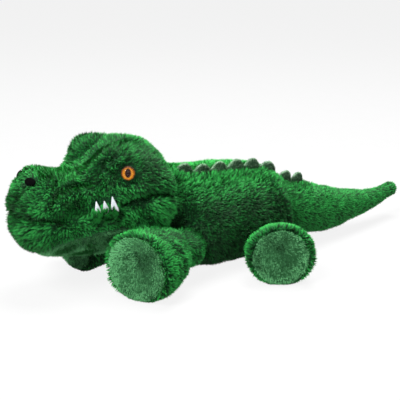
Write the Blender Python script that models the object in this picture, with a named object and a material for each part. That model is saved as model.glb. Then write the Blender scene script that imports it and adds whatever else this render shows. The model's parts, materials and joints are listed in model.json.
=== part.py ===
"""A plush crocodile lying on its belly, in metres, +Z up, nose along -Y, its left side along +X.

Each stuffed part is one closed form: its sewn cover with the fibre inside. The head nods on a
rounded neck, and the tail and the four legs each turn on a rounded root in a hollow of the body,
which stands for the gathered seam that lets the real limb bend.
"""

import math

import bmesh
import bpy
import numpy as np
from mathutils import Matrix, Vector
from mathutils.bvhtree import BVHTree

# Room between neighbours, and how far a cutter runs past what it cuts.
SEAM_GAP = 0.0003
TURN_GAP = 0.0006
PRESS_GAP = 0.0018
OVERRUN = 0.004
FLOOR_TRIM = 0.0005

# The body: from the neck's pivot back to the end of the rump.
BODY_LENGTH = 0.1035
BODY_HALF_WIDTH = 0.041
BODY_HEIGHT = 0.0805
BODY_LEAN = 0.009
NECK_RADIUS = 0.029
NECK_Y = -0.048
NECK_Z = 0.057

# The head: from the rim round the neck to the end of the nose, and from chin to crown.
HEAD_LENGTH = 0.116
HEAD_HALF_WIDTH = 0.040
HEAD_HEIGHT = 0.090
HEAD_SETBACK = 0.006
CHIN_LIFT = 0.023
JAW_SHORTER = 0.002
MOUTH_GAP = 0.0006
MOUND_RISE = 0.0135
MOUND_RADIUS = 0.0175
MOUND_ALONG_SHARE = 0.415
MOUND_ASIDE_SHARE = 0.70
MOUND_HEIGHT_SHARE = 0.86

# The tail: a rounded root in the rump, then a long taper that bends away and up.
TAIL_LENGTH = 0.156
TAIL_ROOT_RADIUS = 0.024
TAIL_SETBACK = 0.0035
TAIL_ROOT_Z = 0.039
TAIL_DRIFT = 0.022
TAIL_SAG = 0.023
TAIL_TIP_DROP = 0.011
TAIL_TIP_RADIUS = 0.0065

# The legs, each on a rounded root at the body's side.
FRONT_LEG_LENGTH = 0.057
FRONT_ROOT_RADIUS = 0.0165
FRONT_ROOT_Z = 0.0265
FRONT_PAW_RADIUS = 0.0260
FRONT_ROOT_X = 0.030
FRONT_ROOT_Y = -0.050
CHEST_TURN = 0.005
REAR_LEG_LENGTH = 0.043
REAR_ROOT_RADIUS = 0.0160
REAR_ROOT_Z = 0.0185
REAR_PAW_RADIUS = 0.0235
REAR_ROOT_X = 0.0410
REAR_ROOT_Y = 0.031
SOLE_RIM = 0.0013
SOLE_THICKNESS = 0.0030
SOLE_CROWN = 0.0020
SOLE_RECESS = 0.0018

# Velour panels of the belly and the chin.
PANEL_THICKNESS = 0.0024

# The felt ridge: how tall and thick a scute is, and how long one is along the back.
SCUTE_HEIGHT = 0.0105
BACK_PITCH = 0.0160
TAIL_PITCH = 0.0142
SCUTE_HALF_THICKNESS = 0.0023
RIDGE_BAND = 0.0030
RIDGE_ROOT = 0.0022
RIDGE_X = 0.013
BACK_RIDGE_STOP = 0.0034
TAIL_RIDGE_STOP = 0.0014
BACK_SCUTES = 6
TAIL_SCUTES = 2

# The safety eyes: backing with its ribbed stem, slit iris, clear dome and lock washer.
EYE_RADIUS = 0.00525
EYE_ALONG_SHARE = 0.334
EYE_HEIGHT_SHARE = 0.780
EYE_FACE_SHARE = 0.97
EYE_DOME = 0.0036
EYE_BACKING = 0.0012
EYE_STEM_RADIUS = 0.0016
EYE_STEM_LENGTH = 0.0120
EYE_RIB = 0.0005
IRIS_THICKNESS = 0.0005
PUPIL_HALF_WIDTH = 0.0014
PUPIL_HALF_HEIGHT = 0.0038
WASHER_RADIUS = 0.0062
WASHER_THICKNESS = 0.0012
COVER_THICKNESS = 0.0030

# Nostrils and felt teeth.
NOSTRIL_X = 0.0125
NOSTRIL_HEIGHT_SHARE = 0.745
NOSTRIL_LENGTH = 0.0050
NOSTRIL_HEIGHT = 0.0030
NOSTRIL_DEPTH = 0.0012
TOOTH_HEIGHT = 0.0105
TOOTH_HALF_WIDTH = 0.0021
TOOTH_THICKNESS = 0.0011

FLOOR_REACH = 0.4

PLUSH = (0.015, 0.210, 0.045)
VELOUR = (0.060, 0.190, 0.085)
FELT = (0.045, 0.100, 0.050)


def clear_scene():
    for thing in list(bpy.data.objects):
        bpy.data.objects.remove(thing, do_unlink=True)


def finish(name, colour, roughness, metallic=0.0, alpha=1.0):
    material = bpy.data.materials.new(name)
    material.use_nodes = True
    shader = material.node_tree.nodes["Principled BSDF"]
    shader.inputs["Base Color"].default_value = (*colour, 1.0)
    shader.inputs["Roughness"].default_value = roughness
    shader.inputs["Metallic"].default_value = metallic
    shader.inputs["Alpha"].default_value = alpha
    return material


def place(name, bm, material=None, pivot=(0, 0, 0)):
    """The mesh as an object, smooth where it is round, with its origin on the given pivot."""
    bmesh.ops.recalc_face_normals(bm, faces=bm.faces[:])
    mesh = bpy.data.meshes.new(name)
    bmesh.ops.translate(bm, verts=bm.verts[:], vec=-Vector(pivot))
    bm.to_mesh(mesh)
    bm.free()
    mesh.shade_smooth()
    mesh.set_sharp_from_angle(angle=math.radians(40))
    thing = bpy.data.objects.new(name, mesh)
    thing.location = pivot
    if material:
        mesh.materials.append(material)
    bpy.context.scene.collection.objects.link(thing)
    return thing


def cutter(name, bm):
    thing = place(name, bm)
    thing.hide_render = True
    thing.display_type = "WIRE"
    return thing


def cut(target, tool, operation="DIFFERENCE"):
    modifier = target.modifiers.new(tool.name, "BOOLEAN")
    modifier.operation = operation
    modifier.object = tool
    modifier.solver = "EXACT"


def smooth_row(rows, at):
    """The row of values at this place along a table, on a smooth curve through its rows."""
    table = np.array(rows, float)
    keys, values = table[:, 0], table[:, 1:]
    slopes = np.gradient(values, keys, axis=0)
    span = int(np.clip(np.searchsorted(keys, at) - 1, 0, len(keys) - 2))
    step = keys[span + 1] - keys[span]
    t = min(max((at - keys[span]) / step, 0), 1)
    return (
        (2 * t**3 - 3 * t**2 + 1) * values[span]
        + (t**3 - 2 * t**2 + t) * step * slopes[span]
        + (3 * t**2 - 2 * t**3) * values[span + 1]
        + (t**3 - t**2) * step * slopes[span + 1]
    )


def oval(angle, half_width, up, down, fullness_up=2.0, fullness_down=2.0):
    """A point of an oval section, counted from its widest line: fullness 2 is an ellipse."""
    c, s = math.cos(angle), math.sin(angle)
    fullness = fullness_up if s >= 0 else fullness_down
    across = half_width * math.copysign(abs(c) ** (2 / fullness), c)
    height = (up if s >= 0 else down) * math.copysign(abs(s) ** (2 / fullness), s)
    return across, height


def turns(count):
    """Angles round a section, with a level pair at its lowest line."""
    return [2 * math.pi * (i + 0.5) / count for i in range(count)]


def skin(rings):
    """A closed body drawn over a row of rings, each with the same number of points."""
    bm = bmesh.new()
    loops = [[bm.verts.new(point) for point in ring] for ring in rings]
    count = len(loops[0])
    for near, far in zip(loops, loops[1:]):
        for i in range(count):
            j = (i + 1) % count
            bm.faces.new((near[i], near[j], far[j], far[i]))
    bm.faces.new(loops[0][::-1])
    bm.faces.new(loops[-1])
    return bm


def ball(centre, radius, rings=12, sides=20):
    bm = bmesh.new()
    bmesh.ops.create_uvsphere(bm, u_segments=sides, v_segments=rings, radius=radius)
    bmesh.ops.translate(bm, verts=bm.verts[:], vec=Vector(centre))
    return bm


def shares_between(low, high, count):
    return [low + (high - low) * i / (count - 1) for i in range(count)]


# The body: along share, width share, crown share, keel share; heights are shares of its height.
BODY_SHARES = (
    (0.03, 0.830, 1.050, 0.240),
    (0.13, 0.960, 1.010, 0.060),
    (0.26, 1.010, 0.990, 0.000),
    (0.45, 1.000, 0.995, -0.006),
    (0.62, 1.010, 0.985, 0.006),
    (0.76, 0.985, 0.950, 0.040),
    (0.90, 0.900, 0.880, 0.080),
    (1.00, 0.770, 0.800, 0.130),
)
BODY_WIDEST_SHARE = 0.44
CROWN_FULLNESS = 2.1
KEEL_FULLNESS = 1.8
LIP_FULLNESS = 4.5


def body_point(along, angle, offset=0.0):
    """A point of the body's skin, moved out by the offset."""
    width, crown, keel = smooth_row(BODY_SHARES, along)
    widest = BODY_WIDEST_SHARE * BODY_HEIGHT
    up = crown * BODY_HEIGHT - widest
    down = widest - keel * BODY_HEIGHT
    x, z = oval(angle, width * BODY_HALF_WIDTH + offset, up + offset, down + offset,
                CROWN_FULLNESS, KEEL_FULLNESS)
    lean = -BODY_LEAN * max(math.sin(angle), 0) ** 2 * math.sin(math.pi * min(max(along, 0), 1))
    return Vector((x + lean, NECK_Y + along * BODY_LENGTH, widest + z))


def body_form():
    """The rounded neck, drawn on into the body, which ends in a full rump."""
    angles = turns(26)
    rings = []
    for tilt in shares_between(math.radians(12), math.radians(96), 6):
        radius = NECK_RADIUS * math.sin(tilt)
        y = NECK_Y - NECK_RADIUS * math.cos(tilt)
        rings.append([(radius * math.cos(a), y, NECK_Z + radius * math.sin(a)) for a in angles])
    for along in [0.045] + shares_between(0.13, 0.93, 9):
        rings.append([body_point(along, a) for a in angles])
    for along, drawn in ((0.97, 0.97), (1.0, 0.88), (1.015, 0.70)):
        centre = Vector((0, NECK_Y + along * BODY_LENGTH, BODY_WIDEST_SHARE * BODY_HEIGHT))
        ring = [body_point(along, a) for a in angles]
        rings.append([centre + (point - centre) * drawn for point in ring])
    return skin(rings)


# The head above the mouth: along share, width share, crown share, mouth share of the height.
HEAD_SHARES = (
    (0.00, 0.88, 0.790, 0.520),
    (0.10, 1.00, 0.930, 0.568),
    (0.22, 0.98, 0.960, 0.562),
    (0.34, 0.90, 0.930, 0.520),
    (0.44, 0.82, 0.865, 0.480),
    (0.53, 0.77, 0.775, 0.457),
    (0.62, 0.74, 0.750, 0.446),
    (0.72, 0.73, 0.770, 0.445),
    (0.83, 0.72, 0.810, 0.445),
    (0.92, 0.70, 0.800, 0.440),
    (1.00, 0.67, 0.740, 0.432),
)
# The jaw: along share of its own length, width share, chin share of the height.
JAW_SHARES = (
    (0.00, 0.84, 0.200),
    (0.10, 1.00, 0.055),
    (0.22, 0.96, 0.020),
    (0.40, 0.84, 0.022),
    (0.58, 0.79, 0.034),
    (0.74, 0.77, 0.064),
    (0.88, 0.75, 0.110),
    (1.00, 0.72, 0.170),
)
LIP_SHARE = 0.040
NOSE_START_SHARE = 0.83


def drawn_in(along, start=NOSE_START_SHARE):
    """How far the end of a form has closed: 1 before the end, falling as a quarter circle."""
    return math.sqrt(max(1 - max((along - start) / (1 - start), 0) ** 2, 0.02))


def mouth_height(y):
    along = (NECK_Y - HEAD_SETBACK - y) / HEAD_LENGTH
    return CHIN_LIFT + smooth_row(HEAD_SHARES, along)[2] * HEAD_HEIGHT


def mounds(point):
    """The point with the two eye mounds pushed up and out."""
    moved = point.copy()
    for side in (-1, 1):
        centre = Vector((side * MOUND_ASIDE_SHARE * HEAD_HALF_WIDTH, mound_y(), mound_z()))
        way = Vector((side * 0.45, -0.30, 1)).normalized()
        reach = (point - centre).length / MOUND_RADIUS
        moved += way * MOUND_RISE * math.exp(-(reach**2))
    return moved


def mound_y():
    return NECK_Y - HEAD_SETBACK - MOUND_ALONG_SHARE * HEAD_LENGTH


def mound_z():
    return CHIN_LIFT + MOUND_HEIGHT_SHARE * HEAD_HEIGHT


def head_point(along, angle):
    width, crown, mouth = smooth_row(HEAD_SHARES, along)
    closing = drawn_in(along)
    lip = LIP_SHARE * HEAD_HEIGHT
    base = CHIN_LIFT + mouth * HEAD_HEIGHT + MOUTH_GAP / 2
    up = (crown - mouth) * HEAD_HEIGHT - lip
    half = width * HEAD_HALF_WIDTH * closing
    x, z = oval(angle, half, up * closing, lip * closing, CROWN_FULLNESS, LIP_FULLNESS)
    y = NECK_Y - HEAD_SETBACK - along * HEAD_LENGTH
    return mounds(Vector((x, y, base + lip + z)))


def head_form():
    angles = turns(28)
    stations = shares_between(0, 0.80, 14) + [0.85, 0.90, 0.945, 0.98, 0.995]
    return skin([[head_point(along, a) for a in angles] for along in stations])


def jaw_point(along, angle, offset=0.0):
    width, chin = smooth_row(JAW_SHARES, along)
    closing = drawn_in(along)
    y = NECK_Y - HEAD_SETBACK - along * (HEAD_LENGTH - JAW_SHORTER)
    lip = LIP_SHARE * HEAD_HEIGHT
    top = mouth_height(y) - MOUTH_GAP / 2
    down = top - lip - CHIN_LIFT - chin * HEAD_HEIGHT
    half = width * HEAD_HALF_WIDTH * closing + offset
    x, z = oval(angle, half, lip * closing + offset, down * closing + offset,
                LIP_FULLNESS, KEEL_FULLNESS)
    return Vector((x, y, top - lip + z))


def jaw_form(offset=0.0):
    angles = turns(22)
    stations = shares_between(0, 0.80, 10) + [0.86, 0.92, 0.96, 0.99]
    return skin([[jaw_point(along, a, offset) for a in angles] for along in stations])


# Where the velour panels lie along their forms, and half the turn that they cover.
BELLY_PANEL_SHARES = (0.30, 0.82)
BELLY_PANEL_TURN = 36
CHIN_PANEL_SHARES = (0.13, 0.88)
CHIN_PANEL_TURN = 70


def panel_form(point_of, ends, turn, stations, across, room_along=0.0):
    """A panel let into a form's underside, or, with a length to share out, the room for it."""
    gap = 3 * SEAM_GAP if room_along else 0.0
    margin = gap / room_along if room_along else 0.0
    low, high = ends
    rings = []
    for t in shares_between(-1, 1, stations):
        swing = t * math.radians(76)
        along = (low + high) / 2 + ((high - low) / 2 + margin) * math.sin(swing)
        reach = turn * math.cos(swing) ** 0.45 + margin * math.pi
        spread = [-math.pi / 2 + reach * share for share in shares_between(-1, 1, across)]
        under = [point_of(along, a, OVERRUN if room_along else 0.0) for a in spread]
        over = [point_of(along, a, -PANEL_THICKNESS - gap) for a in reversed(spread)]
        rings.append(under + over)
    return skin(rings)


def limb_frames(start, bend, end, count):
    """Centres, forward, side and up directions along a bent limb."""
    frames = []
    for t in shares_between(0, 1, count):
        centre = (1 - t) ** 2 * start + 2 * t * (1 - t) * bend + t**2 * end
        forward = (2 * (1 - t) * (bend - start) + 2 * t * (end - bend)).normalized()
        side = forward.cross(Vector((0, 0, 1))).normalized()
        frames.append((centre, forward, side, side.cross(forward)))
    return frames


def limb_ring(frame, radius, sides, back=0.0, half_height=None):
    """A ring of a limb: round, or an oval where a half height is given too."""
    centre, forward, side, up = frame
    middle = centre - forward * back
    high = radius if half_height is None else half_height
    return [
        middle + side * radius * math.cos(a) + up * high * math.sin(a)
        for a in turns(sides)
    ]


def rounded_root(frame, radius, reach, sides, count):
    """Rings of the ball that a limb turns on, up to where it meets the limb."""
    rings = []
    for tilt in shares_between(math.radians(14), reach, count):
        rings.append(limb_ring(frame, radius * math.sin(tilt), sides, radius * math.cos(tilt)))
    return rings


# A leg: along share, width share and height share of the paw's radius.
LEG_SHARES = (
    (0.0, 0.60, 0.58),
    (0.2, 0.74, 0.70),
    (0.4, 0.94, 0.84),
    (0.6, 1.06, 0.95),
    (0.8, 1.06, 1.00),
    (0.92, 1.01, 1.00),
    (1.0, 0.98, 0.98),
)
# The tail: along share, share of the way from its tip's radius to its root's.
TAIL_SHARES = (
    (0.0, 0.90), (0.12, 0.88), (0.24, 0.80), (0.42, 0.60), (0.60, 0.38), (0.74, 0.20), (0.88, 0.06),
    (1.0, 0.0),
)


class Leg:
    """Sizes and places of one leg, from its root's centre and the ways it and its sole point."""

    def __init__(self, name, root, root_radius, heading, sole_heading, length, paw):
        self.name = name
        self.paw = paw
        self.root_radius = root_radius
        self.root = Vector(root)
        way = Vector((math.sin(heading), -math.cos(heading), 0))
        facing = Vector((math.sin(sole_heading), -math.cos(sole_heading), 0))
        lift = Vector((0, 0, paw - FLOOR_TRIM - root[2]))
        end = self.root + way * length + lift
        bend = end - facing * length * 0.45
        self.frames = limb_frames(self.root, bend, end, 12)
        self.sole_radius = paw - 2 * SOLE_RIM

    def form(self):
        sides = 18
        near = next(
            i for i, f in enumerate(self.frames)
            if (f[0] - self.root).length > 0.80 * self.root_radius
        )
        start = self.frames[0]
        rings = rounded_root(start, self.root_radius, math.radians(118), sides, 6)
        steps = len(self.frames) - 1
        for i, frame in enumerate(self.frames[near:-1], near):
            wide, high = smooth_row(LEG_SHARES, i / steps) * self.paw
            rings.append(limb_ring(frame, wide, sides, half_height=high))
        last = self.frames[-1]
        rings.append(limb_ring(last, self.paw - SOLE_RIM / 4, sides, SOLE_RIM))
        rings.append(limb_ring(last, self.paw - SOLE_RIM, sides))
        rings.append(limb_ring(last, self.sole_radius + SEAM_GAP, sides))
        rings.append(limb_ring(last, self.sole_radius + SEAM_GAP, sides, SOLE_RECESS))
        return skin(rings)

    def sole(self):
        sides = 18
        last = self.frames[-1]
        seat = SOLE_RECESS - SEAM_GAP
        rings = [limb_ring(last, self.sole_radius, sides, seat)]
        rings.append(limb_ring(last, self.sole_radius, sides, seat - SOLE_THICKNESS / 2))
        for tilt in shares_between(math.radians(30), math.radians(80), 3):
            swell = SOLE_THICKNESS / 2 + SOLE_CROWN * math.sin(tilt)
            rings.append(limb_ring(last, self.sole_radius * math.cos(tilt), sides, seat - swell))
        return skin(rings)


def floor_block():
    bm = bmesh.new()
    bmesh.ops.create_cube(bm, size=2 * FLOOR_REACH)
    bmesh.ops.translate(bm, verts=bm.verts[:], vec=Vector((0, 0, -FLOOR_REACH)))
    return bm


def tail_frames():
    root = Vector((0, NECK_Y + BODY_LENGTH - TAIL_SETBACK, TAIL_ROOT_Z))
    tip = root + Vector((-TAIL_DRIFT, TAIL_LENGTH, -TAIL_TIP_DROP))
    bend = root + Vector((0, 0.55 * TAIL_LENGTH, -TAIL_SAG))
    return limb_frames(root, bend, tip, 16)


def tail_form():
    sides = 20
    frames = tail_frames()
    near = next(
        i for i, f in enumerate(frames)
        if (f[0] - frames[0][0]).length > 0.60 * TAIL_ROOT_RADIUS
    )
    rings = rounded_root(frames[0], TAIL_ROOT_RADIUS, math.radians(118), sides, 6)
    steps = len(frames) - 1
    for i, frame in enumerate(frames[near:], near):
        share = smooth_row(TAIL_SHARES, i / steps)[0]
        radius = TAIL_TIP_RADIUS + share * (TAIL_ROOT_RADIUS - TAIL_TIP_RADIUS)
        rings.append(limb_ring(frame, radius, sides))
    for tilt in (40, 68, 84):
        ahead = -TAIL_TIP_RADIUS * 0.8 * math.sin(math.radians(tilt))
        radius = TAIL_TIP_RADIUS * math.cos(math.radians(tilt))
        rings.append(limb_ring(frames[-1], radius, sides, ahead))
    return skin(rings)


def tree_of(thing):
    """The object's own mesh, before its cuts, as a tree in world places."""
    corners = [vertex.co + thing.location for vertex in thing.data.vertices]
    return BVHTree.FromPolygons(corners, [face.vertices[:] for face in thing.data.polygons])


def ridge_lines(tree, first, last, scutes, x_of, per_scute=6):
    """Base points and upward directions of the ridge, dropped onto the skin from above."""
    rows = []
    for y in shares_between(first, last, scutes * per_scute + 1):
        above = Vector((x_of(y), y, FLOOR_REACH))
        spot, normal, _, _ = tree.ray_cast(above, Vector((0, 0, -1)))
        rows.append((spot, (normal + Vector((0, 0, 1.5))).normalized()))
    return rows


def ridge(rows, extra=0.0, per_scute=6):
    """A felt ribbon with a scalloped top, rooted in the seam: one scute for each arc."""
    rings = []
    for i, (spot, up) in enumerate(rows):
        follow = rows[min(i + 1, len(rows) - 1)][0] - rows[max(i - 1, 0)][0]
        side = follow.cross(up).normalized()
        arc = abs(math.sin(math.pi * i / per_scute)) ** 0.75
        tall = RIDGE_BAND + (SCUTE_HEIGHT - RIDGE_BAND) * arc
        thick = SCUTE_HALF_THICKNESS * (0.55 + 0.45 * arc) + extra
        lean = follow.normalized() * extra * (-1 if i == 0 else 1 if i == len(rows) - 1 else 0)
        low = -RIDGE_ROOT - extra
        outline = ((-0.8, low), (-1, tall * 0.45), (-0.45, tall + extra),
                   (0.45, tall + extra), (1, tall * 0.45), (0.8, low))
        rings.append([spot + lean + side * thick * a + up * b for a, b in outline])
    return skin(rings)


def lathe(profile, axis_frame, sides):
    """A turned body: the profile's rows are radius and height along the axis."""
    return skin([
        [axis_frame @ Vector((r * math.cos(a), r * math.sin(a), h)) for a in turns(sides)]
        for r, h in profile
    ])


def eye_frame(spot, way):
    up = Vector((0, 0, 1))
    side = up.cross(way).normalized()
    turn = Matrix((side, way.cross(side), way)).transposed()
    return Matrix.Translation(spot) @ turn.to_4x4()


def slit(frame, low, high):
    """A pointed oval prism: the cat-like pupil's opening."""
    points = []
    for i in range(16):
        a = 2 * math.pi * i / 16
        across = PUPIL_HALF_WIDTH * math.copysign(abs(math.cos(a)) ** 1.3, math.cos(a))
        points.append((across, PUPIL_HALF_HEIGHT * math.sin(a)))
    return skin([[frame @ Vector((x, y, h)) for x, y in points] for h in (low, high)])


def eye_profiles():
    """Radius and height rows for the parts of one eye, from the cover's face outwards."""
    stem = [(EYE_STEM_RADIUS * 0.5, -EYE_STEM_LENGTH)]
    ribs = 4
    pitch = (EYE_STEM_LENGTH - COVER_THICKNESS) / (ribs + 1)
    for i in range(ribs):
        low = -EYE_STEM_LENGTH + pitch * (i + 0.5)
        stem.append((EYE_STEM_RADIUS - EYE_RIB, low))
        stem.append((EYE_STEM_RADIUS, low + pitch * 0.8))
        stem.append((EYE_STEM_RADIUS - EYE_RIB, low + pitch * 0.9))
    face = EYE_RADIUS * EYE_FACE_SHARE
    stem += [(EYE_STEM_RADIUS, 0.0), (face, 0.0), (face, EYE_BACKING)]
    iris_low = EYE_BACKING + SEAM_GAP
    iris = [(face, iris_low), (face, iris_low + IRIS_THICKNESS)]
    base = iris_low + IRIS_THICKNESS + SEAM_GAP
    dome = [(EYE_RADIUS, base)]
    for tilt in shares_between(math.radians(10), math.radians(80), 5):
        dome.append((EYE_RADIUS * math.cos(tilt), base + EYE_DOME * math.sin(tilt)))
    inner = EYE_STEM_RADIUS + SEAM_GAP
    low = -COVER_THICKNESS - SEAM_GAP - WASHER_THICKNESS
    washer = [(inner, low), (WASHER_RADIUS, low), (WASHER_RADIUS, low + WASHER_THICKNESS),
              (inner, low + WASHER_THICKNESS)]
    return stem, iris, dome, washer


def closed_turn(profile, frame, sides):
    """A turned ring: the profile's last row joins its first."""
    bm = bmesh.new()
    loops = [
        [bm.verts.new(frame @ Vector((r * math.cos(a), r * math.sin(a), h))) for a in turns(sides)]
        for r, h in profile
    ]
    for near, far in zip(loops, loops[1:] + loops[:1]):
        for i in range(sides):
            j = (i + 1) % sides
            bm.faces.new((near[i], near[j], far[j], far[i]))
    return bm


def build_eye(side, label, head, tree, materials):
    y = NECK_Y - HEAD_SETBACK - EYE_ALONG_SHARE * HEAD_LENGTH
    aim = Vector((side * 0.80, -0.56, 0.20)).normalized()
    height = CHIN_LIFT + EYE_HEIGHT_SHARE * HEAD_HEIGHT
    outside = Vector((side * FLOOR_REACH, y, height))
    spot, _, _, _ = tree.ray_cast(outside, Vector((-side, 0, 0)))
    frame = eye_frame(spot - aim * EYE_BACKING, aim)
    stem, iris, dome, washer = eye_profiles()
    place(f"eye_backing_{label}", lathe(stem, frame, 12), materials["eye_backing"])
    rim = place(f"eye_iris_{label}", lathe(iris, frame, 20), materials["iris"])
    cut(rim, cutter(f"pupil_cut_{label}", slit(frame, -OVERRUN, OVERRUN)))
    place(f"eye_dome_{label}", lathe(dome, frame, 20), materials["eye_dome"])
    place(f"eye_washer_{label}", closed_turn(washer, frame, 16), materials["washer"])
    seat = [(EYE_RADIUS + TURN_GAP, -SEAM_GAP), (EYE_RADIUS + TURN_GAP, EYE_DOME + OVERRUN)]
    hole_low = -EYE_STEM_LENGTH - SEAM_GAP
    hole = [(EYE_STEM_RADIUS + SEAM_GAP, hole_low), (EYE_STEM_RADIUS + SEAM_GAP, OVERRUN)]
    washer_low = -COVER_THICKNESS - 2 * SEAM_GAP - WASHER_THICKNESS
    pocket = [(WASHER_RADIUS + SEAM_GAP, washer_low), (WASHER_RADIUS + SEAM_GAP, -COVER_THICKNESS)]
    for kind, profile in (("seat", seat), ("hole", hole), ("pocket", pocket)):
        cut(head, cutter(f"eye_{kind}_cut_{label}", lathe(profile, frame, 16)))


def lens_shape(frame, half_long, half_high, half_deep, extra=0.0):
    bm = bmesh.new()
    bmesh.ops.create_uvsphere(bm, u_segments=12, v_segments=6, radius=1)
    size = (half_long + extra, half_high + extra, half_deep + extra)
    bmesh.ops.scale(bm, vec=size, verts=bm.verts[:])
    bmesh.ops.transform(bm, matrix=frame, verts=bm.verts[:])
    return bm


def tooth(foot, up, out, tall, half, extra=0.0):
    """A pointed felt triangle with its foot in the mouth's seam."""
    along = up.cross(out).normalized()
    rings = []
    for share, width in ((-0.18, 1.0), (0.15, 0.92), (0.6, 0.52), (1.0, 0.10)):
        middle = foot + up * (tall * share + (extra if share == 1.0 else -extra if share < 0 else 0))
        a = along * (half * width + extra)
        b = out * (TOOTH_THICKNESS / 2 + extra)
        rings.append([middle - a - b, middle + a - b, middle + a + b, middle - a + b])
    return skin(rings)


# The three teeth of one side: along share of the head, height share of the tallest.
TOOTH_SHARES = (("rear", 0.434, 1.0), ("middle", 0.485, 0.85), ("front", 0.536, 0.95))


def build_teeth(side, label, head, jaw, felt):
    """Felt triangles held in the mouth's seam, lying up against the lip."""
    for place_name, along, tall in TOOTH_SHARES:
        lean = math.pi / 2 + side * (-math.pi / 2 - math.radians(12))
        foot = head_point(along, lean)
        above = head_point(along, math.pi / 2 + side * (-math.pi / 2 + math.radians(10)))
        foot.z = mouth_height(foot.y)
        up = (above - foot).normalized()
        behind = head_point(along - 0.04, lean) - head_point(along + 0.04, lean)
        out = (up.cross(behind) * -side).normalized()
        shape = (foot, up, out, TOOTH_HEIGHT * tall, TOOTH_HALF_WIDTH)
        neck = Vector((0, NECK_Y, NECK_Z))
        place(f"tooth_{label}_{place_name}", tooth(*shape), felt, neck)
        room = cutter(f"tooth_{label}_{place_name}_cut", tooth(*shape, SEAM_GAP))
        cut(head, room)
        cut(jaw, room)


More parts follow.
